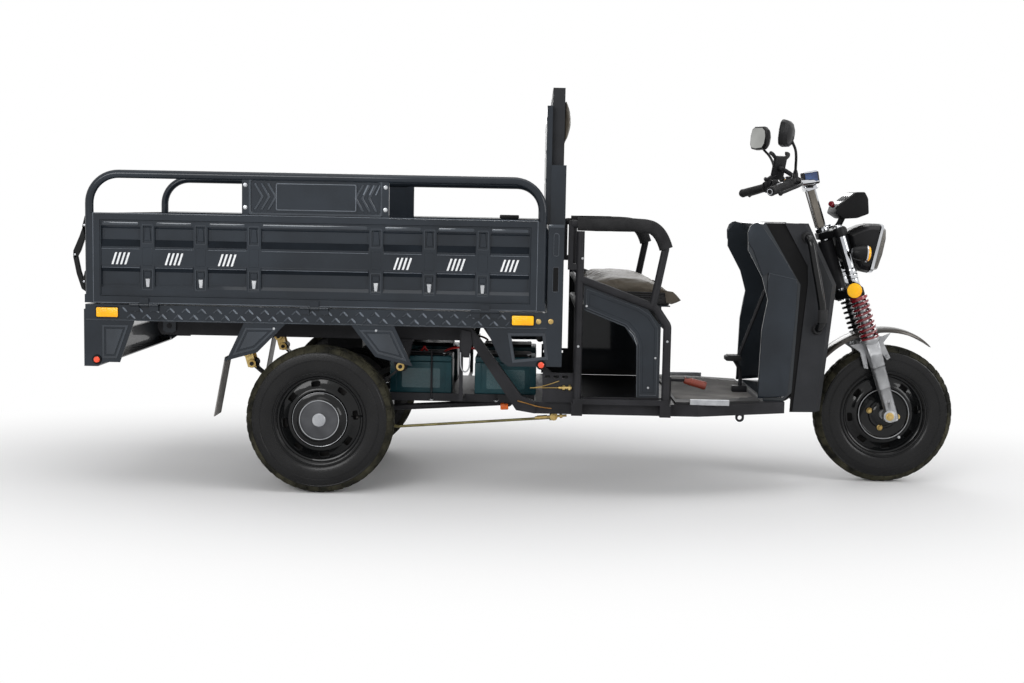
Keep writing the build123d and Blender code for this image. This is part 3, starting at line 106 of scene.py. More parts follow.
soft_box("overhead_box", (0.3, -0.6, 4.2), (0, 0, 0.5), 5.0, 3.0, 70)
soft_box("near_box", (-2.4, -5.0, 2.6), (-0.3, 0, 0.6), 3.0, 2.0, 120)
soft_box("front_box", (4.6, -2.6, 2.2), (0.6, 0, 0.7), 2.0, 2.4, 70)
soft_box("far_box", (0.2, 4.6, 2.6), (0, 0, 0.7), 4.0, 2.0, 70)


def node(tree, kind, **values):
    """A shader node, with the values of the sockets that are named."""
    made = tree.nodes.new("ShaderNode" + kind)
    for socket, value in values.items():
        made.inputs[socket.replace("_", " ")].default_value = value
    return made


def join(tree, *links):
    """Links an output to an input, for each (node, output, node, input)."""
    for source, output, target, socket in links:
        tree.links.new(source.outputs[output], target.inputs[socket])


world = bpy.data.worlds.new("studio_room")
world.use_nodes = True
bpy.context.scene.world = world
room = world.node_tree
room.nodes.clear()
paths = node(room, "LightPath")
sums = [node(room, "Math"), node(room, "Math")]
for total in sums:
    total.operation = "ADD"
sums[1].use_clamp = True
gaze = node(room, "TexCoord")
height = node(room, "SeparateXYZ")
dusk = node(room, "MapRange", From_Min=0.05, From_Max=0.8, To_Min=0.8, To_Max=0.26)
dim = node(room, "Background", Color=(1, 1, 1, 1))
white = node(room, "Background", Color=(1, 1, 1, 1), Strength=1.0)
room_mix = node(room, "MixShader")
join(
    room, (gaze, "Generated", height, 0), (height, "Z", dusk, "Value"), (dusk, "Result", dim, "Strength"),
    (paths, "Is Camera Ray", sums[0], 0), (paths, "Is Glossy Ray", sums[0], 1), (sums[0], 0, sums[1], 0),
    (paths, "Is Transmission Ray", sums[1], 1), (sums[1], 0, room_mix, "Fac"), (dim, 0, room_mix, 1),
    (white, 0, room_mix, 2), (room_mix, 0, node(room, "OutputWorld"), "Surface"),
)

floor_mesh = bmesh.new()
bmesh.ops.create_grid(floor_mesh, x_segments=2, y_segments=2, size=40)
floor_data = bpy.data.meshes.new("studio_floor")
floor_mesh.to_mesh(floor_data)
floor_mesh.free()
floor = bpy.data.objects.new("studio_floor", floor_data)
bpy.context.scene.collection.objects.link(floor)
floor_paint = bpy.data.materials.new("studio_floor_white")
floor_paint.use_nodes = True
sheet = floor_paint.node_tree
lit = sheet.nodes["Principled BSDF"]
lit.inputs["Base Color"].default_value = (0.9, 0.9, 0.905, 1)
lit.inputs["Roughness"].default_value = 0.7
lit.inputs["Specular IOR Level"].default_value = 0.1
glow = node(sheet, "Emission", Strength=1.0)
where = node(sheet, "TexCoord")
squeeze = node(sheet, "Mapping", Scale=(0.62, 1, 1))
reach = node(sheet, "VectorMath")
reach.operation = "LENGTH"
fade = node(sheet, "MapRange", From_Min=0.8, From_Max=2.1)
fade.interpolation_type = "SMOOTHSTEP"
floor_mix = node(sheet, "MixShader")
join(
    sheet, (where, "Object", squeeze, "Vector"), (squeeze, "Vector", reach, 0),
    (reach, "Value", fade, "Value"), (fade, "Result", floor_mix, "Fac"), (lit, 0, floor_mix, 1),
    (glow, 0, floor_mix, 2), (floor_mix, 0, sheet.nodes["Material Output"], "Surface"),
)
floor_data.materials.append(floor_paint)
print("four soft boxes and a white floor")


# %% [markdown]
# Every finish follows one recipe: a slow noise lets the colour wander between two near tones, a fine
# noise moves the roughness, and the same fine noise gives a little relief. Paint adds a clear coat,
# metal turns the metallic value up, rubber and foam keep it low. The pattern is read from object
# coordinates, so it stays with the piece when a joint moves.

# %% The recipe for a finish
finishes = {}


def tint(red, green, blue):
    """A display colour from 0 to 255, as the linear colour that a shader takes."""
    steps = [value / 255 for value in (red, green, blue)]
    return (*[s / 12.92 if s <= 0.04045 else ((s + 0.055) / 1.055) ** 2.4 for s in steps], 1)


def finish(name, dark, light, rough, patch=6.0, grain=400.0, bump=0.0, **fixed):
    """A surface that wanders between two tones; the fixed values go to the shader's own sockets."""
    made = bpy.data.materials.new(name)
    made.use_nodes = True
    tree = made.node_tree
    shader = tree.nodes["Principled BSDF"]
    place = node(tree, "TexCoord")
    wander = node(tree, "TexNoise", Scale=patch, Detail=5)
    speck = node(tree, "TexNoise", Scale=grain, Detail=3)
    tones = node(tree, "ValToRGB")
    for stop, position, colour in zip(tones.color_ramp.elements, (0.36, 0.66), (dark, light)):
        stop.position = position
        stop.color = tint(*colour)
    spread = node(tree, "MapRange", From_Min=0.3, From_Max=0.7, To_Min=rough[0], To_Max=rough[1])
    join(
        tree, (place, "Object", wander, "Vector"), (place, "Object", speck, "Vector"),
        (wander, "Fac", tones, "Fac"), (tones, "Color", shader, "Base Color"),
        (speck, "Fac", spread, "Value"), (spread, "Result", shader, "Roughness"),
    )
    if bump:
        relief = node(tree, "Bump", Strength=bump, Distance=0.001)
        join(tree, (speck, "Fac", relief, "Height"), (relief, "Normal", shader, "Normal"))
    for socket, value in fixed.items():
        shader.inputs[socket.replace("_", " ")].default_value = value
    finishes[name] = made
    return tree


# %% Paints and metals
finish(
    "gloss_paint", (27, 32, 38), (35, 41, 48), (0.3, 0.42), 5, 900, 0.03, Metallic=0.15,
    Specular_IOR_Level=0.08, Coat_Weight=0.42, Coat_Roughness=0.05,
)
finish("frame_black", (30, 30, 32), (41, 41, 44), (0.4, 0.55), 8, 700, 0.12, Specular_IOR_Level=0.14)
finish(
    "gloss_black", (7, 8, 9), (13, 14, 15), (0.2, 0.3), 7, 800, 0.03, Specular_IOR_Level=0.08,
    Coat_Weight=0.4, Coat_Roughness=0.05,
)
finish("leaf_black", (26, 26, 28), (46, 44, 42), (0.4, 0.62), 14, 260, 0.3, Specular_IOR_Level=0.2)
finish("yellow_zinc", (168, 140, 84), (206, 182, 122), (0.26, 0.44), 22, 500, 0.1, Metallic=0.9)
finish("olive_zinc", (92, 86, 52), (120, 113, 72), (0.3, 0.46), 22, 500, 0.1, Metallic=0.5)
finish("bright_zinc", (150, 152, 156), (182, 184, 186), (0.26, 0.42), 20, 500, 0.08, Metallic=0.95)
finish("bright_chrome", (178, 180, 184), (204, 206, 209), (0.05, 0.12), 9, 600, 0.01, Metallic=1.0)
finish("satin_cast", (140, 141, 143), (172, 173, 175), (0.3, 0.48), 18, 420, 0.14, Metallic=0.85)
finish(
    "spring_red", (104, 18, 28), (136, 26, 38), (0.2, 0.3), 9, 600, 0.03, Coat_Weight=0.6, Coat_Roughness=0.06
)
finish(
    "bronze_grey", (44, 40, 36), (64, 58, 52), (0.3, 0.42), 8, 1200, 0.03, Metallic=0.5, Coat_Weight=0.4,
    Coat_Roughness=0.05,
)
finish("motor_grey", (48, 49, 52), (72, 73, 76), (0.38, 0.55), 12, 380, 0.2, Metallic=0.5)
finish("copper_line", (132, 92, 44), (164, 122, 66), (0.24, 0.4), 30, 400, 0.05, Metallic=0.9)

# %% Plastics, rubbers and soft coverings
finish("matt_shell", (36, 37, 39), (45, 46, 49), (0.5, 0.62), 6, 1500, 0.22, Specular_IOR_Level=0.12)
finish("black_plastic", (15, 15, 16), (24, 24, 26), (0.34, 0.46), 9, 1400, 0.12, Specular_IOR_Level=0.16)
finish("deep_black", (10, 10, 11), (16, 16, 17), (0.42, 0.6), 9, 700, 0.1, Specular_IOR_Level=0.12)
finish("teal_case", (16, 46, 52), (26, 62, 68), (0.3, 0.42), 7, 1300, 0.12, Specular_IOR_Level=0.2)
finish("tyre_wall", (10, 10, 11), (17, 17, 18), (0.22, 0.32), 11, 500, 0.12, Specular_IOR_Level=0.25)
finish("tyre_tread", (20, 20, 17), (58, 56, 44), (0.62, 0.84), 16, 420, 0.4, Specular_IOR_Level=0.12)
finish("black_rubber", (26, 26, 27), (38, 38, 39), (0.5, 0.7), 12, 700, 0.3, Specular_IOR_Level=0.2)
finish("grey_rubber", (92, 90, 88), (122, 119, 116), (0.55, 0.72), 9, 600, 0.2)
finish("armrest_foam", (26, 26, 27), (40, 40, 41), (0.66, 0.86), 16, 620, 0.5, Specular_IOR_Level=0.15)
finish("red_grip", (96, 38, 26), (128, 54, 38), (0.4, 0.55), 14, 600, 0.2)
finish("battery_label", (22, 56, 62), (32, 72, 78), (0.22, 0.32), 7, 900, 0.05)
# Dark, dull paint for thin plates on the slopes beside the raised band: painted shade.
finish("slope_painted_shade", (20, 24, 29), (27, 32, 38), (0.55, 0.7), 6, 700, 0.05, Specular_IOR_Level=0.05)
finish(
    "marker_lens", (226, 62, 24), (244, 84, 36), (0.16, 0.24), 20, 900, 0.04, Coat_Weight=0.5,
    Coat_Roughness=0.05,
)
finish(
    "shield_gloss", (26, 31, 36), (36, 42, 48), (0.28, 0.4), 6, 800, 0.04, Specular_IOR_Level=0.2,
    Coat_Weight=0.5, Coat_Roughness=0.08,
)
finish("dull_steel", (92, 87, 80), (124, 118, 109), (0.4, 0.55), 7, 300, 0.06, Metallic=0.4)
# A lighter, glossier copy of the relief paint, for glints and light lines along edges: painted highlight.
finish(
    "glint_painted_highlight", (66, 73, 82), (88, 96, 106), (0.2, 0.32), 9, 700, 0.04, Coat_Weight=0.6, Coat_Roughness=0.06
)
finish("red_cable", (118, 12, 12), (150, 20, 18), (0.3, 0.42), 14, 600, 0.08)
finish("orange_tie", (226, 96, 24), (240, 118, 40), (0.34, 0.46), 12, 900, 0.05)
finish("white_stripe", (214, 216, 218), (228, 229, 230), (0.3, 0.42), 8, 900, 0.03)
# A lighter, glossier copy of the body paint, for raised pressings, beads and lines: painted highlight.
finish(
    "relief_painted_highlight", (36, 42, 49), (48, 55, 63), (0.2, 0.3), 7, 900, 0.03, Metallic=0.3,
    Specular_IOR_Level=0.2, Coat_Weight=0.7, Coat_Roughness=0.05,
)
print("finishes ready:", len(finishes))


# %% [markdown]
# Upholstery vinyl is a thin coat on cloth with an embossed leather grain: small cells with fine
# creases between them. A Voronoi pattern measured to its cell edges gives that relief, and a soft
# gloss on top gives the long highlights that vinyl has over its crown.

# %% Seat vinyl and lens plastics
vinyl = finish("seat_vinyl", (62, 57, 50), (84, 78, 69), (0.36, 0.5), 5, 90, 0, Specular_IOR_Level=0.14)
place = node(vinyl, "TexCoord")
cells = node(vinyl, "TexVoronoi", Scale=420)
cells.feature = "DISTANCE_TO_EDGE"
soft = node(vinyl, "MapRange", From_Max=0.16)
creases = node(vinyl, "TexNoise", Scale=16, Detail=6)
grain = node(vinyl, "Bump", Strength=0.3, Distance=0.0006)
waves = node(vinyl, "Bump", Strength=0.35, Distance=0.004)
join(
    vinyl, (place, "Object", cells, "Vector"), (place, "Object", creases, "Vector"),
    (cells, "Distance", soft, "Value"), (soft, "Result", grain, "Height"), (creases, "Fac", waves, "Height"),
    (waves, "Normal", grain, "Normal"), (grain, "Normal", vinyl.nodes["Principled BSDF"], "Normal"),
)


def lens_plastic(name, dark, light, transmission):
    """A coloured lens with the small prisms of a moulded reflector inside it."""
    tree = finish(
        name, dark, light, (0.06, 0.14), 10, 900, 0, Specular_IOR_Level=0.25, Coat_Weight=0.25,
        Coat_Roughness=0.03, Transmission_Weight=transmission,
    )
    prisms = node(tree, "TexVoronoi", Scale=380, Randomness=0.1)
    relief = node(tree, "Bump", Strength=0.5, Distance=0.001)
    join(
        tree, (node(tree, "TexCoord"), "Object", prisms, "Vector"), (prisms, "Distance", relief, "Height"),
        (relief, "Normal", tree.nodes["Principled BSDF"], "Normal"),
    )


lens_plastic("amber_lens", (250, 170, 0), (255, 196, 0), 0.05)
lens_plastic("red_lens", (150, 12, 14), (190, 22, 22), 0.15)
lens_plastic("clear_lens", (112, 109, 104), (150, 147, 142), 0.6)
finish("mirror_glass", (148, 149, 146), (170, 171, 168), (0.02, 0.05), 6, 300, 0, Metallic=1.0)
finish(
    "blue_screen", (22, 44, 84), (50, 82, 132), (0.12, 0.2), 30, 500, 0, Coat_Weight=0.4, Coat_Roughness=0.03,
)

# %% Finishes for the pieces that keep their solid shape
kept_finish = {
    "gloss_paint": (
        "bed_floor", "side_frame_left", "side_frame_right", "side_panel_left", "side_panel_right", "tailgate",
        "rear_bumper", "headboard", "wheel_guards", "seat_box", "leg_covers",
    ),
    "frame_black": (
        "chassis_frame", "footwell_frame", "head_tube", "battery_tray", "rear_axle", "seat_frame",
        "torque_rod", "brake_pedal", "parking_lever",
    ),
    "gloss_black": ("crash_bars",),
    "shield_gloss": ("leg_shield",),
    "yellow_zinc": ("spring_shackles",),
    "olive_zinc": ("brake_rod",),
    "bright_zinc": ("spring_u_bolts",),
    "leaf_black": ("leaf_springs",),
    "matt_shell": ("front_fairing", "back_pad", "headlight"),
    "black_plastic": ("controller", "display_box", "phone_holder", "mirrors", "instrument_pod"),
    "motor_grey": ("drive_motor",),
    "teal_case": ("batteries",),
    "grey_rubber": ("mud_flaps",),
    "black_rubber": ("floor_mat", "handlebar_grips"),
    "armrest_foam": ("armrest_foam",),
    "bright_chrome": ("fork", "handlebar"),
    "satin_cast": ("fork_legs", "tailgate_latches"),
    "spring_red": ("fork_springs",),
    "bronze_grey": ("front_fender",),
    "amber_lens": ("side_reflectors", "turn_signals"),
    "red_lens": ("tail_lamps",),
    "clear_lens": ("headlight_lens",),
    "seat_vinyl": ("seat_cushion", "back_cushion"),
    "tyre_wall": ("tyre_front", "tyre_rear_left", "tyre_rear_right"),
    "deep_black": ("wheel_front", "wheel_rear_left", "wheel_rear_right"),
}
for finish_name, names in kept_finish.items():
    for name in names:
        for slot in nodes[name].material_slots:
            slot.material = finishes[finish_name]
print("dressed solids:", sum(len(names) for names in kept_finish.values()))


# %% [markdown]
# Small shapes are made one at a time from Blender's own operators: a cube, a cone, an outline that
# is spun or extruded. Each is then taken into the bmesh of its piece, as often as it repeats. At the
# end the piece gets its normals, its smooth shading with sharp creases, and the body it rides on.

# %% Shapes from operators
def new_verts(made):
    """The vertices that an operator has made."""
    return [item for item in made["geom"] if isinstance(item, bmesh.types.BMVert)]


def soften(part, edge, steps=1, edges=None):
    """Bevels the given edges, or all of them."""
    if edge:
        bmesh.ops.bevel(
            part, geom=list(edges if edges is not None else part.edges), offset=edge, offset_type="OFFSET",
            segments=steps, profile=0.5, affect="EDGES", material=-1, clamp_overlap=True,
        )
    return part


def block_part(low, high, edge=0.0, steps=1):
    """A block between two corners with softened edges."""
    part = bmesh.new()
    low, high = Vector(low), Vector(high)
    bmesh.ops.create_cube(
        part, size=1, matrix=Matrix.Translation((low + high) / 2) @ Matrix.Diagonal((*(high - low), 1)),
    )
    return soften(part, edge, steps)


def rod_part(start, end, radius, tip=None, sides=20, edge=0.0):
    """A round bar or cone between two points, with its end edges softened."""
    part = bmesh.new()
    start, end = Vector(start), Vector(end)
    run = end - start
    place = Matrix.Translation((start + end) / 2) @ run.to_track_quat("Z", "Y").to_matrix().to_4x4()
    bmesh.ops.create_cone(
        part, cap_ends=True, cap_tris=False, segments=sides, radius1=radius,
        radius2=radius if tip is None else tip, depth=run.length, matrix=place,
    )
    caps = {line for face in part.faces if len(face.verts) == sides and sides > 4 for line in face.edges}
    return soften(part, edge, 2, caps)


def turned_part(profile, steps=64, closed=False):
    """An outline of (radius, height) points, turned about the local Z axis."""
    part = bmesh.new()
    line = [part.verts.new((radius, 0, height)) for radius, height in profile]
    edges = [part.edges.new(pair) for pair in zip(line, line[1:])]
    if closed:
        edges.append(part.edges.new((line[-1], line[0])))
    bmesh.ops.spin(
        part, geom=line + edges, cent=(0, 0, 0), axis=(0, 0, 1), dvec=(0, 0, 0), angle=tau, steps=steps,
        use_merge=True, use_normal_flip=False, use_duplicate=False,
    )
    bmesh.ops.remove_doubles(part, verts=part.verts, dist=1e-6)
    return part


def plate_part(outline, y0, y1, edge=0.0, steps=1):
    """An outline of (x, z) points, extruded from y0 to y1, with softened edges."""
    part = bmesh.new()
    face = part.faces.new([part.verts.new((x, y0, z)) for x, z in outline])
    grown = bmesh.ops.extrude_face_region(part, geom=[face])
    bmesh.ops.translate(part, vec=(0, y1 - y0, 0), verts=new_verts(grown))
    bmesh.ops.recalc_face_normals(part, faces=part.faces)
    return soften(part, edge, steps)


def bolt_part(radius, height, washer=True):
    """A hexagon head on its washer, standing up along Z from the origin."""
    part = rod_part((0, 0, height * 0.2), (0, 0, height), radius, radius * 0.94, 6, 0)
    soften(part, radius * 0.1, 1)
    if washer:
        add(
            part, rod_part((0, 0, 0), (0, 0, height * 0.28), radius * 1.35, sides=20, edge=radius * 0.08),
            None,
        )
    return part


def add(shape, part, look=0, places=(Matrix.Identity(4),), keep=False):
    """Adds a small bmesh to a piece's bmesh at each of the places, and frees it unless it's needed again."""
    if look is not None:
        for face in part.faces:
            face.material_index = look
    holder = bpy.data.meshes.new("holder")
    part.to_mesh(holder)
    if not keep:
        part.free()
    for place in [places] if isinstance(places, Matrix) else places:
        copy = holder.copy()
        copy.transform(place)
        shape.from_mesh(copy)
        bpy.data.meshes.remove(copy)
    bpy.data.meshes.remove(holder)
    return shape


def both_sides(shape):
    """Adds the mirror image on the other side of the vehicle, with its faces turned out."""
    made = bmesh.ops.duplicate(shape, geom=shape.verts[:] + shape.edges[:] + shape.faces[:])
    bmesh.ops.transform(shape, matrix=Matrix.Diagonal((1, -1, 1, 1)), verts=new_verts(made))
    bmesh.ops.reverse_faces(
        shape, faces=[item for item in made["geom"] if isinstance(item, bmesh.types.BMFace)],
    )


def settle(name, shape, body, looks, covers=(), crease=32, outward=True):
    """Makes the piece: welds, turns its faces out, shades it, dresses it, and sets it on its body."""
    bmesh.ops.remove_doubles(shape, verts=shape.verts, dist=1e-6)
    if outward:
        bmesh.ops.recalc_face_normals(shape, faces=shape.faces)
    for face in shape.faces:
        face.smooth = True
    data = bpy.data.meshes.new(name)
    shape.to_mesh(data)
    shape.free()
    data.set_sharp_from_angle(angle=radians(crease))
    for look in [looks] if isinstance(looks, str) else looks:
        data.materials.append(finishes[look])
    made = bpy.data.objects.new(name, data)
    bpy.context.scene.collection.objects.link(made)
    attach(made, body)
    if covers:
        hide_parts(*covers)
    print(f"{name}: {len(data.polygons)} faces")
    return made


def wire_part(points, radius, sides=12, smooth=True, cyclic=False):
    """A round wire or tube along a smooth line through the points."""
    line = bpy.data.curves.new("wire", "CURVE")
    line.dimensions = "3D"
    line.bevel_depth = radius
    line.bevel_resolution = max(0, sides // 4 - 1)
    line.use_fill_caps = True
    spline = line.splines.new("NURBS" if smooth else "POLY")
    spline.points.add(len(points) - 1)
    for knot, place in zip(spline.points, points):
        knot.co = (*place, 1)
    spline.use_cyclic_u = cyclic
    if smooth:
        spline.order_u = 3
        spline.use_endpoint_u = not cyclic
        spline.resolution_u = 6
    holder = bpy.data.objects.new("wire", line)
    data = bpy.data.meshes.new_from_object(holder)
    part = bmesh.new()
    part.from_mesh(data)
    for face in part.faces:
        face.material_index = 0
    bpy.data.objects.remove(holder)
    bpy.data.curves.remove(line)
    bpy.data.meshes.remove(data)
    return part


def shift(x, y, z):
    """A move without a turn."""
    return Matrix.Translation((x, y, z))


def turn_z_to(direction):
    """Turns the local Z axis to a direction."""
    return Vector(direction).to_track_quat("Z", "Y").to_matrix().to_4x4()


def outward(x, y, z, way):
    """A place whose Z axis points out to the right, for way -1, or to the left, for 1."""
    return shift(x, y, z) @ turn_z_to((0, way, 0))


def mm(*points):
    """Points typed in millimetres, as a list in metres."""
    return [tuple(value / 1000 for value in point) for point in points]


def lofted_part(outline, stations, pull=None):
    """An outline of (x, z) points at each (y, scale), scaled about its own middle, then pulled into form."""
    part = bmesh.new()
    middle_x = sum(x for x, z in outline) / len(outline)
    middle_z = sum(z for x, z in outline) / len(outline)
    (place, scale), rest = stations[0], stations[1:]
    if scale != 1:
        outline = [(middle_x + (x - middle_x) * scale, middle_z + (z - middle_z) * scale) for x, z in outline]
    face = part.faces.new([part.verts.new((x, place, z)) for x, z in outline])
    about = shift(-middle_x, 0, -middle_z)
    for next_place, next_scale in rest:
        grown = bmesh.ops.extrude_face_region(part, geom=[face])
        face = next(item for item in grown["geom"] if isinstance(item, bmesh.types.BMFace))
        bmesh.ops.translate(part, vec=(0, next_place - place, 0), verts=new_verts(grown))
        if next_scale != scale:
            ratio = next_scale / scale
            bmesh.ops.scale(part, vec=(ratio, 1, ratio), space=about, verts=new_verts(grown))
        place, scale = next_place, next_scale
    for vert in part.verts if pull else ():
        pull(vert.co)
    bmesh.ops.recalc_face_normals(part, faces=part.faces)
    return part


# %% [markdown]
# The tyre is spun in one go from half a section. The tread isn't painted on: rows of the spun faces
# are raised as blocks, with one column left low as the groove between two blocks. The rows are first
# slid round a little, so the grooves lean as they do on a real cargo tyre.

# %% Tyres
tyre_section = mm(
    (156.5, 34), (162, 40), (170, 43), (173.5, 42.5), (176, 44.6), (185, 47.4), (198, 49.2), (213, 50),
    (216, 50), (217, 49), (219, 49), (220, 49.9), (231, 49.2), (240, 47.8), (241, 47), (243, 46.6), (244, 47),
    (247.5, 45.5), (256, 41), (262.5, 35), (264, 26), (264.5, 21.5), (265, 8), (265.2, 4),
)
tread_steps = 144
groove_lean, lean_start, lean_span = radians(6), 0.004, 0.022
block_inset, tread_start = 0.0012, 0.247
block_rises = {"shoulder": 0.0042, "crown": 0.0068, "centre": 0.0066}


def tyre_shape():
    """A cargo tyre about the local Z axis."""
    half = [(radius, height) for radius, height in tyre_section]
    shape = turned_part(half + [(radius, -height) for radius, height in reversed(half)], tread_steps)
    for vert in shape.verts:
        height = abs(vert.co.z)
        if 0.002 < height < 0.027:
            lean = groove_lean * (height - lean_start) / lean_span * (1 if vert.co.z > 0 else -1)
            vert.co = Matrix.Rotation(lean, 3, "Z") @ vert.co
    shoulder, crown = [], []
    for face in shape.faces:
        spot = face.calc_center_median()
        radius, height = hypot(spot.x, spot.y), abs(spot.z)
        if radius < 0.246 or height < 0.0001:
            continue
        lean = groove_lean * max(0, min(1, (height - lean_start) / lean_span)) * (1 if spot.z > 0 else -1)
        turn = (atan2(spot.y, spot.x) - lean) % tau / tau
        column = int(turn * tread_steps + 0.5) % tread_steps
        if 0.026 < height < 0.0459:
            if (column + (2 if spot.z > 0 else 0)) % 4:
                shoulder.append(face)
        elif 0.008 < height < 0.0215:
            if (column + (0 if spot.z > 0 else 1)) % 3:
                crown.append(face)
    centre = [
        face for face in shape.faces
        if hypot(*face.calc_center_median()[:2]) > 0.26 and abs(face.calc_center_median().z) < 0.0039
    ]
    for faces, rise in zip((shoulder, crown, centre), block_rises.values()):
        bmesh.ops.inset_region(
            shape, faces=faces, use_boundary=True, use_even_offset=True, thickness=block_inset, depth=rise,
        )
    for face in shape.faces:
        spot = face.calc_center_median()
        face.material_index = 1 if hypot(spot.x, spot.y) > tread_start else 0
    return shape


wheel_places = {
    "rear_right": (middle("tyre_rear_right"), -1, "rear_wheel_right"),
    "rear_left": (middle("tyre_rear_left"), 1, "rear_wheel_left"),
    "front": (middle("tyre_front"), -1, "front_wheel"),
}
for wheel, (centre_point, side, body) in wheel_places.items():
    shape = bmesh.new()
    add(shape, tyre_shape(), None, shift(*centre_point) @ turn_z_to((0, side, 0)))
    settle(f"tyre_{wheel}_treaded", shape, body, ("tyre_wall", "tyre_tread"), (f"tyre_{wheel}",), 24)

# %% [markdown]
# A pressed steel rim is one turned section: the curled flange, the bead seat, a step down into the
# well, and the dished disc. The vents between disc and barrel are real holes: faces are taken out of
# the front and back skins and the two edges bridged, then the corners of the hole are rounded.

# %% Rims
rim_section = mm(
    (170, 40), (172.2, 42.5), (170.5, 45), (167.5, 44.5), (165.5, 40), (164, 33), (159, 30), (156.5, 24),
    (154, 22.5), (150.5, 21.5), (149, 14), (146, 11), (140, 12), (122, 19), (116, 23.5), (110, 26),
    (105, 26.2), (102, 23.5), (90, 22.5), (46, 22.5), (46, 16.5), (90, 16.5), (104, 18.5), (111, 19),
    (122, 13), (140, 6), (147, 3), (150, -20), (152, -33), (165, -39), (166.5, -44.5), (170, -45),
    (171.5, -42), (169, -37), (157, -35), (156, 30), (160, 37),
)
rim_steps = 96
vent_count, vent_columns, vent_corner = 8, 4, 0.005


def rim_shape():
    """The rim about the local Z axis, its disc towards +Z."""
    shape = turned_part(rim_section, rim_steps, closed=True)
    bmesh.ops.recalc_face_normals(shape, faces=shape.faces)
    columns = rim_steps // vent_count
    doomed = []
    for face in shape.faces:
        spot = face.calc_center_median()
        radius = hypot(spot.x, spot.y)
        if 0.128 < radius < 0.134 and 0.005 < spot.z < 0.018:
            column = int((atan2(spot.y, spot.x) % tau) / tau * rim_steps)
            if column % columns < vent_columns:
                doomed.append(face)
    bmesh.ops.delete(shape, geom=doomed, context="FACES")
    for number in range(vent_count):
        open_edges = []
        for edge in shape.edges:
            if edge.is_boundary:
                spot = (edge.verts[0].co + edge.verts[1].co) / 2
                angle = atan2(spot.y, spot.x) % tau / tau * vent_count
                if int(angle + 0.25) % vent_count == number:
                    open_edges.append(edge)
        bmesh.ops.bridge_loops(shape, edges=open_edges)
    corners = []
    for edge in shape.edges:
        start, end = (vert.co for vert in edge.verts)
        radius = hypot(*start[:2])
        across = abs(start.z - end.z) > 0.004 and abs(radius - hypot(*end[:2])) < 0.001
        if across and len(edge.link_faces) == 2 and 0.119 < radius < 0.141:
            if edge.calc_face_angle(0) > radians(60):
                corners.append(edge)
    soften(shape, vent_corner, 3, corners)
    return shape


def lug_nuts(shape, count, circle, height, phase, index):
    """Cone nuts on their studs, in a ring."""
    turns = [Matrix.Rotation(radians(phase) + tau * n / count, 4, "Z") for n in range(count)]
    places = [turn @ shift(circle, 0, height) for turn in turns]
    add(shape, turned_part(mm((0, 1), (11.5, 1), (11.5, 4), (9, 6), (0, 6)), 16), index, places)
    add(shape, bolt_part(0.0095, 0.014, False), index, places)
    add(shape, rod_part((0, 0, 0.01), (0, 0, 0.018), 0.005, sides=12, edge=0.001), index, places)


def rear_hub(shape):
    """Hub cap, its bright rings and boss, and the brake drum behind the disc."""
    cap = mm(
        (97.5, 23), (100.5, 26.5), (99, 30), (95, 31.5), (86, 34.5), (80, 40), (76.5, 43), (74.5, 43.5),
        (73, 42), (68, 41.5), (30, 44.5), (0, 45),
    )
    add(shape, turned_part(cap))
    add(shape, turned_part(mm((98.2, 29.6), (100.2, 30), (100.8, 28.4), (99, 28)), 96, True), 1)
    add(shape, turned_part(mm((69.5, 42.5), (70.3, 45.2), (72.8, 45.2), (73.7, 42.8)), 96, True), 1)
    add(shape, turned_part(mm((69, 41.8), (68, 43), (28, 46.2), (0, 46.6))), 2)
    add(shape, turned_part(mm((25, 45.5), (24.5, 49), (22.5, 50.5), (0, 51)), 40), 1)
    drum = mm((0, 15), (100, 15), (104, 11), (104, -8), (102.5, -10), (104, -12), (104, -36))
    add(shape, turned_part(drum + mm((101, -40), (90, -41), (88, -36), (0, -36))), 3)


def front_hub(shape):
    """The drum with its machined ring, hub and nuts."""
    drum = mm(
        (104, 20), (103.5, 30), (101, 33.5), (96.5, 34), (94, 31.5), (93.5, 27), (90, 25), (60, 24.5),
        (56, 29), (48, 29.5), (42, 35), (30, 37), (0, 37),
    )
    add(shape, turned_part(drum))
    add(shape, turned_part(mm((96.8, 33.6), (97.8, 35), (99.8, 35), (100.8, 33.4)), 96, True), 4)
    lug_nuts(shape, 4, 0.057, 0.026, 78, 5)
    back = mm((104, 18), (104, -36), (100, -41), (40, -41), (36, -46), (0, -46))
    add(shape, turned_part(back), 3)
    add(shape, turned_part(mm((0, 37), (20, 37), (19, 46), (0, 47)), 24), 4)
    valve = Matrix.Rotation(radians(-55), 4, "Z") @ shift(0.112, 0, 0.026)
    add(shape, rod_part((0, 0, -0.004), (0, 0, 0.01), 0.0055, sides=16, edge=0.001), 4, valve)


rim_looks = ("gloss_black", "bright_zinc", "motor_grey", "leaf_black", "satin_cast", "yellow_zinc")
for wheel, (centre_point, side, body) in wheel_places.items():
    shape = bmesh.new()
    add(shape, rim_shape())
    # A dark ring just behind the disc closes the view through the vents: painted shade.
    vent_shade_ring = turned_part(mm((100, -23), (152, -23), (152, -24.5), (100, -24.5)), 64, True)
    add(shape, vent_shade_ring, 3)
    dress_hub = front_hub if wheel == "front" else rear_hub
    dress_hub(shape)
    add(shape, wire_part(mm((144, 12, 20), (143, 12, 30), (138, 12, 40)), 0.0035), 3)
    bmesh.ops.transform(shape, matrix=shift(*centre_point) @ turn_z_to((0, side, 0)), verts=shape.verts)
    settle(f"rim_{wheel}", shape, body, rim_looks, (f"wheel_{wheel}",), 34)


# %% [markdown]
# The front end is built in the fork's own frame, whose Z axis is the steering axis, leaning back by
# 18 degrees. A matrix takes each piece from there to its place, so that tubes, clamps and springs
# stay in line with each other and with the joint that turns them.

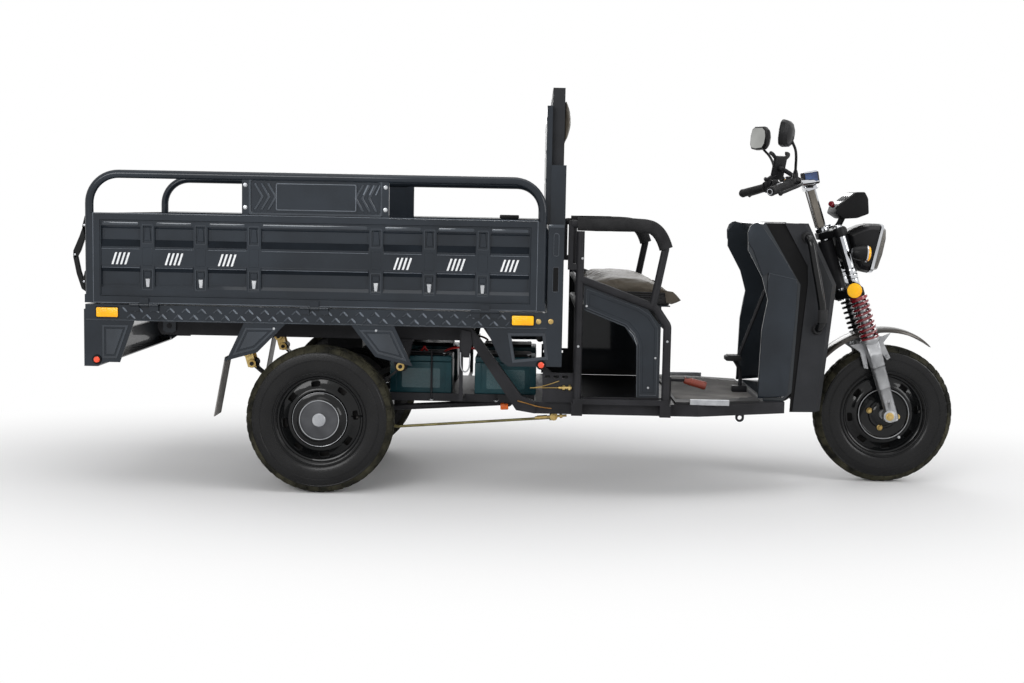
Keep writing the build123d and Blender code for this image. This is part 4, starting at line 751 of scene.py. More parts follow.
# %% The fork's frame
rake = radians(18)
steer_foot = Vector((1.372, 0, 0.272))
steer = Matrix((
    (cos(rake), 0, -sin(rake), steer_foot.x),
    (0, 1, 0, 0),
    (sin(rake), 0, cos(rake), steer_foot.z),
    (0, 0, 0, 1),
))
leg_x, leg_y = 0.045, 0.095
spring_low, spring_high = 0.306, 0.478
top_clamp = 0.724

# %% [markdown]
# Upper fork: two chromed tubes in two clamps. A clamp is a cast plate with a boss round each tube,
# split and pinched by a bolt. The plates are outlines with their edges bevelled, and the bosses are
# turned. Bright rings stack up above the lower clamp, where the dust cover ends.

# %% Fork tubes and clamps
def clamp_plate(shape, low, high, length_back, index):
    """One cast clamp, its bosses and its pinch bolts."""
    outline = [
        (-length_back, -0.04), (leg_x - 0.004, -0.118), (leg_x + 0.026, -0.112),
        (leg_x + 0.03, -0.07), (0.052, -0.03), (0.052, 0.03), (leg_x + 0.03, 0.07),
        (leg_x + 0.026, 0.112), (leg_x - 0.004, 0.118), (-length_back, 0.04),
    ]
    lay_flat = Matrix.Rotation(radians(90), 4, "X")
    add(shape, plate_part(outline, low, high, 0.004, 2), index, lay_flat)
    for side in (-1, 1):
        boss = rod_part(
            (leg_x, side * leg_y, low - 0.004), (leg_x, side * leg_y, high + 0.004), 0.0235, sides=32,
            edge=0.002,
        )
        add(shape, boss, index)
        pinch = shift(leg_x + 0.024, side * (leg_y - 0.012), (low + high) / 2) @ turn_z_to((1, 0, 0))
        add(shape, bolt_part(0.006, 0.006), 1, pinch)


shape = bmesh.new()
clamp_plate(shape, 0.478, 0.51, 0.03, 0)
clamp_plate(shape, top_clamp, top_clamp + 0.028, 0.026, 0)
for side in (-1, 1):
    y = side * leg_y
    tube_profile = mm(
        (0, 290), (13.5, 290), (13.5, 512), (18, 514), (20.5, 520), (20.5, 548), (19, 550), (21.5, 554),
        (21.5, 566), (19, 569), (21.5, 573), (21.5, 588), (19, 592), (20, 600), (20, 648), (21, 651),
        (21, 657), (20, 660), (20, 722), (15, 726), (15, 758), (0, 760),
    )
    add(shape, turned_part(tube_profile, 32), 1, shift(leg_x, y, 0))
    add(shape, bolt_part(0.013, 0.01), 1, shift(leg_x, y, 0.756))
stem_profile = mm((0, 470), (18, 470), (18, 752), (26, 753), (26, 766), (19, 768), (19, 925), (0, 926))
add(shape, turned_part(stem_profile, 32), 1)
for side in (-1, 1):
    add(
        shape, block_part((-0.019, side * 0.024 - 0.009, 0.77), (0.008, side * 0.024 + 0.009, 0.935), 0.003),
        2,
    )
add(shape, block_part((-0.026, -0.04, 0.921), (0.024, 0.04, 0.944), 0.006, 2), 1)
add(shape, block_part((-0.024, -0.038, 0.9445), (0.022, 0.038, 0.968), 0.006, 2), 1)
caps = [shift(x, y, 0.968) for x in (-0.015, 0.013) for y in (-0.028, 0.028)]
add(shape, bolt_part(0.0055, 0.006), 1, caps)
bmesh.ops.transform(shape, matrix=steer, verts=shape.verts)
settle("fork_upper", shape, "steering", ("black_plastic", "bright_chrome", "dull_steel"), ("fork",))

# %% [markdown]
# Lower fork: cast and polished legs that go from round at the spring seat to a flat-sided blade at
# the axle. Each is a stack of squares, extruded upwards and scaled step by step, then bevelled: that
# is how such a casting is drafted. Two ears at the top carry the mudguard.

# %% Fork legs
def blade(shape, side, index):
    """One lower leg, widening upwards from the axle lug to the spring seat."""
    stations = mm(
        (-34, 18, 17), (-22, 22, 19), (30, 22, 19), (100, 22.5, 20), (103, 24.5, 21.5), (190, 25, 22),
        (193, 26.5, 23.5), (290, 28.5, 27),
    )
    part = bmesh.new()
    height, half_x, half_y = stations[0]
    grid = bmesh.ops.create_grid(part, x_segments=1, y_segments=1, size=1)["verts"]
    bmesh.ops.scale(part, vec=(half_x, half_y, 1), verts=grid)
    bmesh.ops.translate(part, vec=(0, 0, height), verts=grid)
    part.faces.ensure_lookup_table()
    face = part.faces[0]
    for station, (next_height, next_x, next_y) in zip(stations, stations[1:]):
        grown = bmesh.ops.extrude_face_region(part, geom=[face])
        moved = new_verts(grown)
        face = next(item for item in grown["geom"] if isinstance(item, bmesh.types.BMFace))
        bmesh.ops.scale(part, vec=(next_x / station[1], next_y / station[2], 1), verts=moved)
        bmesh.ops.translate(part, vec=(0, 0, next_height - station[0]), verts=moved)
    upright = [edge for edge in part.edges if abs(edge.verts[0].co.z - edge.verts[1].co.z) > 0.001]
    soften(part, 0.008, 3, upright)
    add(shape, part, index, shift(leg_x, side * leg_y, 0))
    seat = mm((0, 284), (30, 284), (37, 294), (39, 300), (38.5, 306), (30, 307), (0, 307))
    add(shape, turned_part(seat, 40), index, shift(leg_x, side * leg_y, 0))
    ear_y = side * leg_y - side * 0.02
    for outline in (
        [(leg_x + 0.02, 0.294), (leg_x + 0.088, 0.3), (leg_x + 0.05, 0.272),
         (leg_x + 0.06, 0.206), (leg_x + 0.044, 0.2), (leg_x + 0.026, 0.25)],
        [(leg_x - 0.02, 0.294), (leg_x - 0.078, 0.3), (leg_x - 0.048, 0.262),
         (leg_x - 0.05, 0.196), (leg_x - 0.034, 0.188), (leg_x - 0.026, 0.25)],
    ):
        add(shape, plate_part(outline, ear_y - 0.004, ear_y + 0.004, 0.0015), index)
    for x, z in ((leg_x + 0.05, 0.216), (leg_x - 0.042, 0.204)):
        lug = outward(x, ear_y + side * 0.004, z, side)
        add(shape, bolt_part(0.006, 0.006), index, lug)


shape = bmesh.new()
for side in (-1, 1):
    blade(shape, side, 0)
    lug_place = outward(0.0285 + 0.004, side * (leg_y + 0.018), -0.0093, side)
    add(shape, rod_part((0, 0, -0.036), (0, 0, 0.004), 0.024, sides=32, edge=0.003), 0, lug_place)
    add(shape, bolt_part(0.012, 0.014), 1, lug_place @ shift(0, 0, 0.003))
    add(shape, rod_part((0, 0, 0.012), (0, 0, 0.021), 0.006, sides=14, edge=0.001), 1, lug_place)
    cap = outward(leg_x, side * (leg_y + 0.021), 0.05, side)
    add(shape, bolt_part(0.0045, 0.004), 0, cap)
axle = rod_part((0.0285, -0.078, -0.0093), (0.0285, 0.078, -0.0093), 0.01, sides=20)
add(shape, axle)
bmesh.ops.transform(shape, matrix=steer, verts=shape.verts)
settle("fork_lower", shape, "steering", ("satin_cast", "yellow_zinc"), ("fork_legs",))

# %% [markdown]
# A coil spring is one wire on a helix. The helix closes up in its last turn at both ends, as a ground
# spring does, so it sits flat on the seat. The wire is a smooth curve with a round section.

# %% Coil springs
coil_turns, coil_radius, coil_wire = 8, 0.0315, 0.0052
points_a_turn, end_closing = 14, 0.1


def coil_points(low, high):
    """Points on a helix whose end turns lie closer together."""
    points = []
    count = coil_turns * points_a_turn
    for number in range(count + 1):
        share = number / count
        rise = share - end_closing * sin(tau * share) / tau
        angle = tau * coil_turns * share
        points.append((coil_radius * cos(angle), coil_radius * sin(angle), low + (high - low) * rise))
    return points


for side, look, side_name in ((-1, "spring_red", "right"), (1, "black_plastic", "left")):
    shape = bmesh.new()
    place = shift(leg_x, side * leg_y, 0)
    add(
        shape, wire_part(coil_points(spring_low + 0.008, spring_high - 0.006), coil_wire, 12, False), 0, place
    )
    sleeve = mm((0, 300), (18.5, 300), (18.5, 440), (15, 443), (15, 486), (0, 486))
    add(shape, turned_part(sleeve, 32), 1, place)
    rims = [
        (0.015, spring_low), (0.0355, spring_low), (0.0355, spring_low + 0.006), (0.028, spring_low + 0.007),
    ]
    add(shape, turned_part(rims, 40), 0, place)
    top_seat = mm((15, 478), (34, 478), (34, 471), (15, 470))
    add(shape, turned_part(top_seat, 40), 0, place)
    bmesh.ops.transform(shape, matrix=steer, verts=shape.verts)
    settle(
        f"fork_spring_{side_name}", shape, "steering", (look, "satin_cast"), ("fork_springs",),
    )

# %% [markdown]
# The mudguard is a rolled section bent round the wheel: crowned in the middle with turned-down lips,
# narrowing to a point at the front. The section is spun part of a turn about the wheel's axle, and
# the front rings are then drawn in.

# %% Front mudguard
wheel_centre = middle("tyre_front")
guard_section = mm(
    (325, -55), (334.5, -54.5), (339.5, -50), (342.5, -36), (344, -15), (344.5, 0), (344, 15), (342.5, 36),
    (339.5, 50), (334.5, 54.5), (325, 55),
)
front_angle, rear_angle, tip_share = radians(56), radians(150), 0.36
shape = bmesh.new()
line = [shape.verts.new((radius, 0, height)) for radius, height in guard_section]
edges = [shape.edges.new(pair) for pair in zip(line, line[1:])]
bmesh.ops.spin(
    shape, geom=line + edges, cent=(0, 0, 0), axis=(0, 0, 1), dvec=(0, 0, 0), angle=rear_angle - front_angle,
    steps=56, use_merge=False, use_normal_flip=False, use_duplicate=False,
)
for vert in shape.verts:
    share = atan2(vert.co.y, vert.co.x) / (rear_angle - front_angle)
    narrow = min(1.0, share / tip_share)
    ease = 1 - (1 - narrow) ** 2
    radius = hypot(vert.co.x, vert.co.y)
    radius = 0.3435 + (radius - 0.3435) * (0.15 + 0.85 * ease) - 0.02 * (1 - narrow) ** 2
    angle = share * (rear_angle - front_angle) + front_angle
    vert.co = (radius * cos(angle), radius * sin(angle), vert.co.z * (0.16 + 0.84 * ease ** 0.8))
bmesh.ops.recalc_face_normals(shape, faces=shape.faces)
bmesh.ops.solidify(shape, geom=shape.faces[:], thickness=0.0022)
stand_up = shift(*wheel_centre) @ Matrix.Rotation(radians(90), 4, "X")
bmesh.ops.transform(shape, matrix=stand_up, verts=shape.verts)
for side in (-1, 1):
    for x, z in ((leg_x + 0.05, 0.288), (leg_x - 0.044, 0.286)):
        add(shape, bolt_part(0.006, 0.005), 1, steer @ shift(x, side * 0.0565, z) @ turn_z_to((0, side, 0)))
settle(
    "front_mudguard", shape, "steering", ("bronze_grey", "bright_zinc"), ("front_fender",), 40,
    False,
)

# %% [markdown]
# The headlight is a moulded shell: a back plate by the fork, a body that swells towards the lens and
# a bright bezel. Its side outline is extruded in steps across the vehicle and drawn in at the cheeks,
# so that it's rounded from the front as well. The lens leans forward at its top.

# %% Headlight
cheek_stations = (-1.0, -0.94, -0.8, -0.5, 0.0, 0.5, 0.8, 0.94, 1.0)


def swollen_part(outline, half, shrink, centre):
    """A side outline extruded across the vehicle, drawn in towards both cheeks."""
    def drawn_to_centre(point):
        share = abs(point.y) / half
        pull = shrink * max(0.0, (share - 0.5) / 0.5) ** 2.2
        point.x = centre[0] + (point.x - centre[0]) * (1 - pull)
        point.z = centre[1] + (point.z - centre[1]) * (1 - pull)

    return lofted_part(outline, [(share * half, 1.0) for share in cheek_stations], drawn_to_centre)


shell = mm(
    (1217, 986), (1250, 1003), (1281, 1016), (1312, 1023), (1352, 1021), (1346, 980), (1330, 910),
    (1316, 852), (1308, 831), (1290, 833), (1272, 840), (1256, 864), (1244, 900), (1230, 944),
)
shape = bmesh.new()
add(shape, swollen_part(shell, 0.104, 0.26, (1.3, 0.935)))
bezel = mm((1350, 1023), (1361, 1021.5), (1321, 829), (1307, 830))
add(shape, swollen_part(bezel, 0.1, 0.16, (1.33, 0.928)), 1)
mount = mm((1186, 960), (1226, 985), (1240, 948), (1250, 890), (1220, 870), (1195, 900))
add(shape, swollen_part(mount, 0.07, 0.1, (1.22, 0.93)), 2)
add(shape, block_part((0.036, -0.02, 0.672), (0.09, 0.02, 0.722), 0.004), 2, steer)
settle(
    "headlight_shell", shape, "steering", ("black_plastic", "bright_chrome", "matt_shell"),
    ("headlight",), 28,
)

shape = bmesh.new()
glass = mm((1358, 1012), (1372, 1004), (1373, 970), (1360, 900), (1342, 842), (1324, 838))
add(shape, swollen_part(glass, 0.092, 0.16, (1.33, 0.925)))
settle("headlight_glass", shape, "steering", "clear_lens", ("headlight_lens",), 28)

# %% [markdown]
# Turn signals: a short round housing on a stalk, open to the front, with an amber lens in a bright
# trim ring. All three are turned about one axis that points forwards and a little down, like the
# headlight's lens.

# %% Turn signals
shape = bmesh.new()
forward_down = Vector((cos(radians(4)), 0, -sin(radians(4))))
for side in (-1, 1):
    place = shift(1.224, side * 0.15, 0.912) @ turn_z_to(forward_down)
    cup = mm((0, 0), (16, 1), (24, 10), (29, 32), (32, 56), (30, 57), (0, 50))
    add(shape, turned_part(cup, 40), 1, place)
    add(shape, turned_part(mm((31.5, 53), (33.5, 54), (33.5, 59), (30.5, 60)), 40, True), 2, place)
    lens = mm((30.5, 56), (30, 62), (27, 68), (19, 71.5), (0, 72.5))
    add(shape, turned_part(lens, 40), 0, place)
    add(shape, rod_part((1.238, side * 0.1, 0.918), (1.246, side * 0.134, 0.913), 0.009, 0.012, 20, 0.001), 1)
settle(
    "turn_signal_lamps", shape, "steering", ("amber_lens", "black_plastic", "bright_chrome"),
    ("turn_signals",),
)

# %% [markdown]
# The instrument pod is a faceted wedge whose top face looks up at the driver. It's an outline with
# wide bevels, with a glossy window let into the top and a stalk down to the clamp.

# %% Instrument pod
shape = bmesh.new()
wedge = mm(
    (1168, 1060), (1176, 1088), (1248, 1144), (1282, 1145), (1296, 1120), (1301, 1060), (1256, 1042),
    (1202, 1038),
)
part = plate_part(wedge, -0.084, 0.084)
bmesh.ops.scale(part, vec=(0.985, 1, 0.985), space=shift(-1.24, 0, -1.09), verts=part.verts)
soften(part, 0.005, 2)
add(shape, part)
slope = atan2(1.144 - 1.088, 1.248 - 1.176)
window = block_part((-0.036, -0.066, 0), (0.036, 0.066, 0.0022), 0.001)
add(shape, window, 1, shift(1.2135, 0, 1.1157) @ Matrix.Rotation(-slope, 4, "Y"))
for y in (-0.04, 0.0, 0.04):
    dial = turned_part(mm((0, 2), (16, 2), (17.5, 3.4), (15.5, 3.6), (14.5, 2.6), (0, 2.6)), 32)
    add(shape, dial, 0, shift(1.2135, y, 1.1157) @ Matrix.Rotation(-slope, 4, "Y"))
add(shape, wire_part(mm((1172, 0, 975), (1190, 0, 1000), (1205, 0, 1020), (1215, 0, 1045)), 0.012, 16))
add(shape, block_part((1.15, -0.026, 0.966), (1.186, 0.026, 0.982), 0.003))
settle(
    "instrument_wedge", shape, "steering", ("deep_black", "gloss_black"),
    ("instrument_pod",), 26,
)
print("front lamps and pod are in place")


# %% [markdown]
# Levers, grips and mirrors are what the driver touches, so their forms are read at once. Grips are
# turned with ribs and a flange, levers are bent wire with a ball end, and each mirror head is an
# outline drafted backwards from the glass, turned a little towards the driver.

# %% Grips, switches and levers
bar_centre = steer @ Vector((0, 0, 0.945))


def at_bars(x, y, z):
    """A point given from the middle of the handlebar, in millimetres."""
    return bar_centre + Vector((x, y, z)) / 1000


shape = bmesh.new()
for side in (-1, 1):
    inner, outer = at_bars(-127, side * 256, -9.5), at_bars(-210, side * 367, -36)
    along = (outer - inner).normalized()
    place = shift(*inner) @ turn_z_to(along)
    length = (outer - inner).length
    ribs = mm((11.2, 0), (22.5, 0), (23.5, 2), (22.5, 4), (17, 6))
    rib_count = 16
    for number in range(rib_count):
        start = 0.012 + number * (length - 0.03) / rib_count
        ribs += [(0.0158, start), (0.0168, start + 0.0012), (0.0168, start + 0.0038), (0.0158, start + 0.005)]
    ribs += [
        (0.0165, length - 0.014), (0.0175, length - 0.01), (0.0175, length - 0.003), (0.016, length),
        (0.0112, length),
    ]
    add(shape, turned_part(ribs, 36), 0, place)
    cap = [
        (0.0, length - 0.002), (0.0112, length - 0.002), (0.0125, length + 0.002), (0.012, length + 0.006),
        (0.0, length + 0.008),
    ]
    add(shape, turned_part(cap, 30), 1, place)
    housing = block_part((-0.017, -0.018, -0.038), (0.017, 0.024, -0.004), 0.006, 2)
    add(shape, housing, 1, place)
    add(shape, block_part((-0.019, 0.022, -0.03), (0.003, 0.03, -0.012), 0.003), 1, place)
    for number, look in ((0, 2), (1, 3)):
        button = rod_part(
            (-0.018, 0.004 + 0.013 * number, -0.02), (-0.022, 0.004 + 0.013 * number, -0.02), 0.004, sides=14,
            edge=0.0008,
        )
        add(shape, button, look, place)
    pivot = at_bars(-96, side * 214, 2)
    add(shape, block_part((-0.014, -0.012, -0.011), (0.024, 0.014, 0.011), 0.004, 2), 1, shift(*pivot))
    lever = [pivot + Vector((x, side * y, z)) / 1000 for x, y, z in (
        (16, 4, 0), (26, 20, -2), (10, 62, -12), (-30, 112, -26), (-62, 150, -38), (-74, 162, -42),
    )]
    add(shape, wire_part(lever, 0.0058, 16), 4)
    add(
        shape,
        rod_part(
            lever[-1] - Vector((0.004, 0, 0.002)), lever[-1] + Vector((-0.008, side * 0.007, -0.003)), 0.009,
            sides=20, edge=0.005,
        ),
        4,
    )
settle(
    "grips_and_levers", shape, "steering",
    ("black_rubber", "black_plastic", "red_lens", "amber_lens", "black_plastic"),
    ("handlebar_grips",),
)

# %% Mirrors
head_outline = mm(
    (-58, -30), (-44, -47), (10, -50), (46, -44), (60, -24), (63, 12), (55, 40), (36, 50), (-30, 48),
    (-52, 34), (-62, 6),
)
shape = bmesh.new()
for side in (-1, 1):
    head_place = shift(*at_bars(-150 + 8 * side, side * 348, 185 + 8 * side))
    turn, tilt = Matrix.Rotation(radians(90 + side * 24), 4, "Z"), Matrix.Rotation(radians(6), 4, "X")
    turned_in = head_place @ turn @ tilt
    outline = [(side * x, z) for x, z in head_outline]
    stations = [(0.014, 0.9), (0.012, 0.97), (0.006, 1.0), (-0.006, 0.97), (-0.018, 0.78), (-0.026, 0.46)]
    shell = lofted_part(outline, stations)
    add(shape, shell, 0, turned_in)
    glass = lofted_part(outline, [(0.0142, 0.86), (0.0152, 0.855)])
    add(shape, glass, 1, turned_in)
    stem = [at_bars(x, side * y, z) for x, y, z in (
        (-96, 226, 22), (-98, 232, 52), (-102, 262, 92), (-112, 300, 122), (-128, 330, 142), (-138, 342, 158),
    )]
    add(shape, wire_part(stem, 0.0052, 16))
    joint = at_bars(-140, side * 343, 160)
    add(
        shape, rod_part(joint - Vector((0, 0, 0.014)), joint + Vector((0, 0, 0.008)), 0.01, 0.0125, 20, 0.002)
    )
    foot = at_bars(-96, side * 224, 0)
    boot = mm((0, 6), (15, 6), (15, 14), (11.5, 18), (10.5, 34), (6.5, 48), (0, 49))
    add(shape, turned_part(boot, 24), 0, shift(*foot))
    add(shape, bolt_part(0.0085, 0.008), 0, Matrix.Translation(foot + Vector((0, 0, 0.012))))
settle(
    "mirror_heads", shape, "steering", ("black_plastic", "mirror_glass"), ("mirrors",), 30,
)

# %% Display and phone clamp
shape = bmesh.new()
lean = Matrix.Rotation(radians(-10), 4, "Y")
display = shift(*at_bars(-10, -66, 22)) @ lean
for low, high, edge, steps, look in (
    ((-0.031, -0.031, -0.024), (0.03, 0.031, 0.026), 0.005, 2, 0),
    ((-0.024, -0.0325, -0.012), (0.024, -0.03, 0.021), 0.001, 1, 1),
    ((-0.026, -0.026, 0.0255), (0.025, 0.026, 0.0275), 0.001, 1, 1),
    ((-0.0275, -0.0335, -0.0168), (0.0275, -0.03, -0.0132), 0.0008, 1, 2),
    ((-0.0275, -0.0335, 0.0222), (0.0275, -0.03, 0.0258), 0.0008, 1, 2),
):
    add(shape, block_part(low, high, edge, steps), look, display)
add(shape, rod_part(at_bars(-8, -66, -14), at_bars(-8, -66, 2), 0.012, sides=20, edge=0.002))
settle(
    "display_unit", shape, "steering", ("black_plastic", "blue_screen", "bright_chrome"),
    ("display_box",),
)

shape = bmesh.new()
cradle = shift(*at_bars(-112, 60, 66)) @ Matrix.Rotation(radians(-58), 4, "Z")
cradle = cradle @ Matrix.Rotation(radians(14), 4, "Y")
add(shape, block_part((-0.007, -0.03, -0.05), (0.008, 0.03, 0.046), 0.004, 2), 0, cradle)
for y in (-1, 1):
    for z in (-1, 1):
        finger = [
            (0.001, y * 0.012, z * 0.03), (0.0, y * 0.03, z * 0.04), (-0.002, y * 0.04, z * 0.05),
            (-0.012, y * 0.044, z * 0.055), (-0.02, y * 0.038, z * 0.052),
        ]
        add(shape, wire_part(finger, 0.008, 14), 0, cradle)
add(shape, rod_part((0.004, 0, 0), (0.026, 0, -0.004), 0.014, 0.009, 24, 0.002), 0, cradle)
arm = [at_bars(x, 60, z) for x, z in ((-94, 58), (-72, 46), (-44, 26), (-16, 12))]
add(shape, wire_part(arm, 0.009, 16))
add(shape, rod_part(at_bars(-6, 44, 9.5), at_bars(-6, 76, 9.5), 0.0165, sides=24, edge=0.002))
settle("phone_clamp", shape, "steering", ("black_plastic",), ("phone_holder",), 30)

# %% Fork reflectors and the red key cap
shape = bmesh.new()
for side in (-1, 1):
    place = outward(1.2455, side * 0.122, 0.764, side)
    add(shape, turned_part(mm((0, 0), (24, 0), (30.5, 3), (31, 8), (29.5, 8.5), (0, 6)), 48), 1, place)
    add(shape, turned_part(mm((29.2, 7.5), (28.5, 10.5), (24, 12), (0, 12.5)), 48), 0, place)
    add(shape, rod_part((0, 0, -0.012), (0, 0, 0.001), 0.008, sides=16), 1, place)
place = shift(1.161, -0.052, 1.093) @ turn_z_to((-0.5, -0.6, 0.5))
add(shape, turned_part(mm((0, -12), (8, -12), (9, -2), (0, -2)), 20), 1, place)
add(shape, turned_part(mm((9, -3), (11.5, 0), (11.5, 9), (9.5, 11.5), (0, 12)), 24), 2, place)
settle("fork_reflectors", shape, "steering", ("amber_lens", "black_plastic", "spring_red"))

# %% [markdown]
# The leg covers and the fairing are thin mouldings. The cover has soft edges and a crease, where its
# face turns from the upper to the lower plane: one outline for each face, and the crease is where
# they meet. The outer fairing panel lies just over the inner shell and ends short of the cover. The
# inner shell is painted deep black as painted shade, so that a dark gap shows between them.

# %% Leg covers
cover_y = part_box("leg_covers")[1].y
cover_back_y = cover_y - 0.0097
upper_face = mm(
    (824, 1017), (837, 1020), (853, 1011), (902, 944), (940, 890), (962, 856), (990, 808), (884, 832),
    (864, 818), (826, 913), (804, 948), (802, 984), (810, 1007),
)
lower_face = mm(
    (990, 808), (995.5, 795), (990, 650), (973, 383), (968, 374), (959, 368), (860, 358), (862, 430),
    (867, 618), (880, 700), (886, 731), (881, 760), (884, 832),
)
shape = bmesh.new()
add(shape, plate_part(upper_face, -cover_y + 0.0008, -cover_back_y, 0.0022, 2))
add(shape, plate_part(lower_face, -cover_y, -cover_back_y, 0.003, 3))
# The wire along the crease takes the relief finish: painted highlight.
crease = [
    (0.885, -cover_y + 0.0016, 0.8322), (0.94, -cover_y + 0.0006, 0.82), (0.9895, -cover_y + 0.0016, 0.809),
]
add(shape, wire_part(crease, 0.0026, 12), 1)
both_sides(shape)
settle(
    "leg_cover_mouldings", shape, "chassis", ("gloss_paint", "relief_painted_highlight"), ("leg_covers",),
    30,
)

# %% Fairing skin
fairing_levels = {
    0.308: (0.9955, 1.0842, 1.1045, 1.0945, 1.0585),
    0.79: (1.036, 1.129, 1.1493, 1.1395, 1.0905),
    0.86: (1.033, 1.0945, 1.1148, 1.1048, 1.066),
    1.019: (0.942, 1.016, 1.0362, 1.0262, 1.0105),
}
flank_y = (0.2795, 0.2698, 0.2415, 0.2215, 0.1905)


def open_chain(part, points):
    """Vertices and edges along an open line."""
    line = [part.verts.new(point) for point in points]
    return [part.edges.new(pair) for pair in zip(line, line[1:])]


def skin_between(levels, thickness, turn_out):
    """Bridges open lines one above the other, and gives the skin its thickness."""
    part = bmesh.new()
    chains = [open_chain(part, points) for points in levels]
    for low, high in zip(chains, chains[1:]):
        bmesh.ops.bridge_loops(part, edges=low + high)
    bmesh.ops.recalc_face_normals(part, faces=part.faces)
    out = Vector(turn_out)
    probe = max(part.faces, key=lambda face: abs(face.calc_center_median().dot(out)))
    if probe.normal.dot(out) * probe.calc_center_median().dot(out) < 0:
        bmesh.ops.reverse_faces(part, faces=part.faces)
    bmesh.ops.solidify(part, geom=part.faces[:], thickness=-thickness)
    return part


shape = bmesh.new()
for side in (-1, 1):
    levels = [
        [(x, side * y, height) for x, y in zip(row, flank_y)] for height, row in fairing_levels.items()
    ]
    add(shape, skin_between(levels, 0.0012, (0, side, 0)))
settle("fairing_skin", shape, "chassis", ("matt_shell",), (), 28)
# The inner shell is painted deep black: painted shade where it shows behind the panel and in the gap.
for slot in nodes["front_fairing"].material_slots:
    slot.material = finishes["deep_black"]

# %% [markdown]
# The crash bars are fat bent tubes beside the fairing, with rubber ends where they enter it. A smooth
# line through a few points gives the bends, and a larger short sleeve covers each end.

# %% Crash bars
shape = bmesh.new()
bar_line = mm(
    (1024, -268, 968), (1029, -290, 966), (1038, -307, 950), (1046, -310, 910), (1056, -310, 860),
    (1076, -310, 770), (1090, -310, 690), (1089, -305, 645), (1080, -288, 624), (1074, -266, 620),
)
add(shape, wire_part(bar_line, 0.015, 24))
add(shape, rod_part((1.023, -0.266, 0.969), (1.029, -0.288, 0.9665), 0.0205, 0.0185, 28, 0.003), 1)
add(shape, rod_part((1.0735, -0.264, 0.62), (1.08, -0.287, 0.623), 0.0205, 0.0185, 28, 0.003), 1)
add(shape, rod_part((1.0905, -0.31, 0.7), (1.09, -0.309, 0.65), 0.018, sides=28, edge=0.003), 1)
both_sides(shape)
settle(
    "crash_bar_tubes", shape, "chassis", ("gloss_black", "black_rubber"), ("crash_bars",), 30,
)


# %% [markdown]
# The drop sides are pressed sheet between a rail and a rim. The solid already has the recesses and
# the ribs. What catches the eye on the real sheet is the finer pressing: a bead with round ends at
# the top of each bay, a trapezoid in each rib's window, and four painted slashes on the band. Each
# is a thin outline on its surface, and each is repeated from bay to bay.

# %% Bays and ribs of a drop side
side_low, side_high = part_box("side_panel_right")
bed_middle = (side_low.x + side_high.x) / 2
rib_width, rib_pitch, rib_first = 0.051, 0.192, 0.22
ribs = sorted(bed_middle + side * (rib_first + n * rib_pitch) for side in (-1, 1) for n in range(3))
bay_edges = [side_low.x] + [x + way * rib_width / 2 for x in ribs for way in (-1, 1)] + [side_high.x]
bays = [(bay_edges[n], bay_edges[n + 1]) for n in range(0, len(bay_edges), 2)]
# the raised face and the top of the right-hand panel, and the one bay that has no slashes
face, top = side_low.y, side_high.z
plain_bay = 3
print("bays:", len(bays), "ribs:", len(ribs))


def slanted(x, z, width, height, lean):
    """A leaning bar's outline about its middle."""
    return [
        (x - width / 2 - lean / 2, z - height / 2), (x + width / 2 - lean / 2, z - height / 2),
        (x + width / 2 + lean / 2, z + height / 2), (x - width / 2 + lean / 2, z + height / 2),
    ]


def rounded_bar(x0, x1, z0, z1, corner, steps=4):
    """A rectangle's outline with rounded corners."""
    points = []
    x0, x1, z0, z1 = x0 + corner, x1 - corner, z0 + corner, z1 - corner
    for cx, cz, start in ((x1, z1, 0), (x0, z1, 90), (x0, z0, 180), (x1, z0, 270)):
        for number in range(steps + 1):
            angle = radians(start + 90 * number / steps)
            points.append((cx + corner * cos(angle), cz + corner * sin(angle)))
    return points


def frame_part(outer, inner, y0, y1, edge=0.0):
    """The strip between two outlines of as many points, one inside the other."""
    part = bmesh.new()
    loops = []
    for outline in (outer, inner):
        line = [part.verts.new((x, y0, z)) for x, z in outline]
        loops += [part.edges.new((line[n], line[(n + 1) % len(line)])) for n in range(len(line))]
    bmesh.ops.bridge_loops(part, edges=loops)
    grown = bmesh.ops.extrude_face_region(part, geom=part.faces[:])
    bmesh.ops.translate(part, vec=(0, y1 - y0, 0), verts=new_verts(grown))
    bmesh.ops.recalc_face_normals(part, faces=part.faces)
    if not edge:
        return part
    sharp = [line for line in part.edges if line.calc_face_angle(0) > radians(50)]
    return soften(part, edge, 1, sharp)


def drawn_in(outline, inset):
    """An outline moved in parallel to its own sides, mitred at the corners."""
    count = len(outline)
    points = [Vector(point) for point in outline]
    area = sum(points[n - 1].x * points[n].y - points[n].x * points[n - 1].y for n in range(count))
    turn = 1 if area > 0 else -1
    result = []
    for n in range(count):
        before = (points[n] - points[n - 1]).normalized()
        after = (points[(n + 1) % count] - points[n]).normalized()
        normal_before = Vector((-before.y, before.x)) * turn
        normal_after = Vector((-after.y, after.x)) * turn
        miter = (normal_before + normal_after).normalized()
        result.append(tuple(points[n] + miter * (inset / max(0.3, miter.dot(normal_after)))))
    return result


def ring_part(bar, wall, corners, depth, edge=0.0):
    """The strip between a rounded rectangle, given as (x0, x1, z0, z1), and a smaller one inside it."""
    x0, x1, z0, z1 = bar
    outer = rounded_bar(x0, x1, z0, z1, corners[0])
    inner = rounded_bar(x0 + wall[0], x1 - wall[0], z0 + wall[1], z1 - wall[1], corners[1])
    return frame_part(outer, inner, *depth, edge)


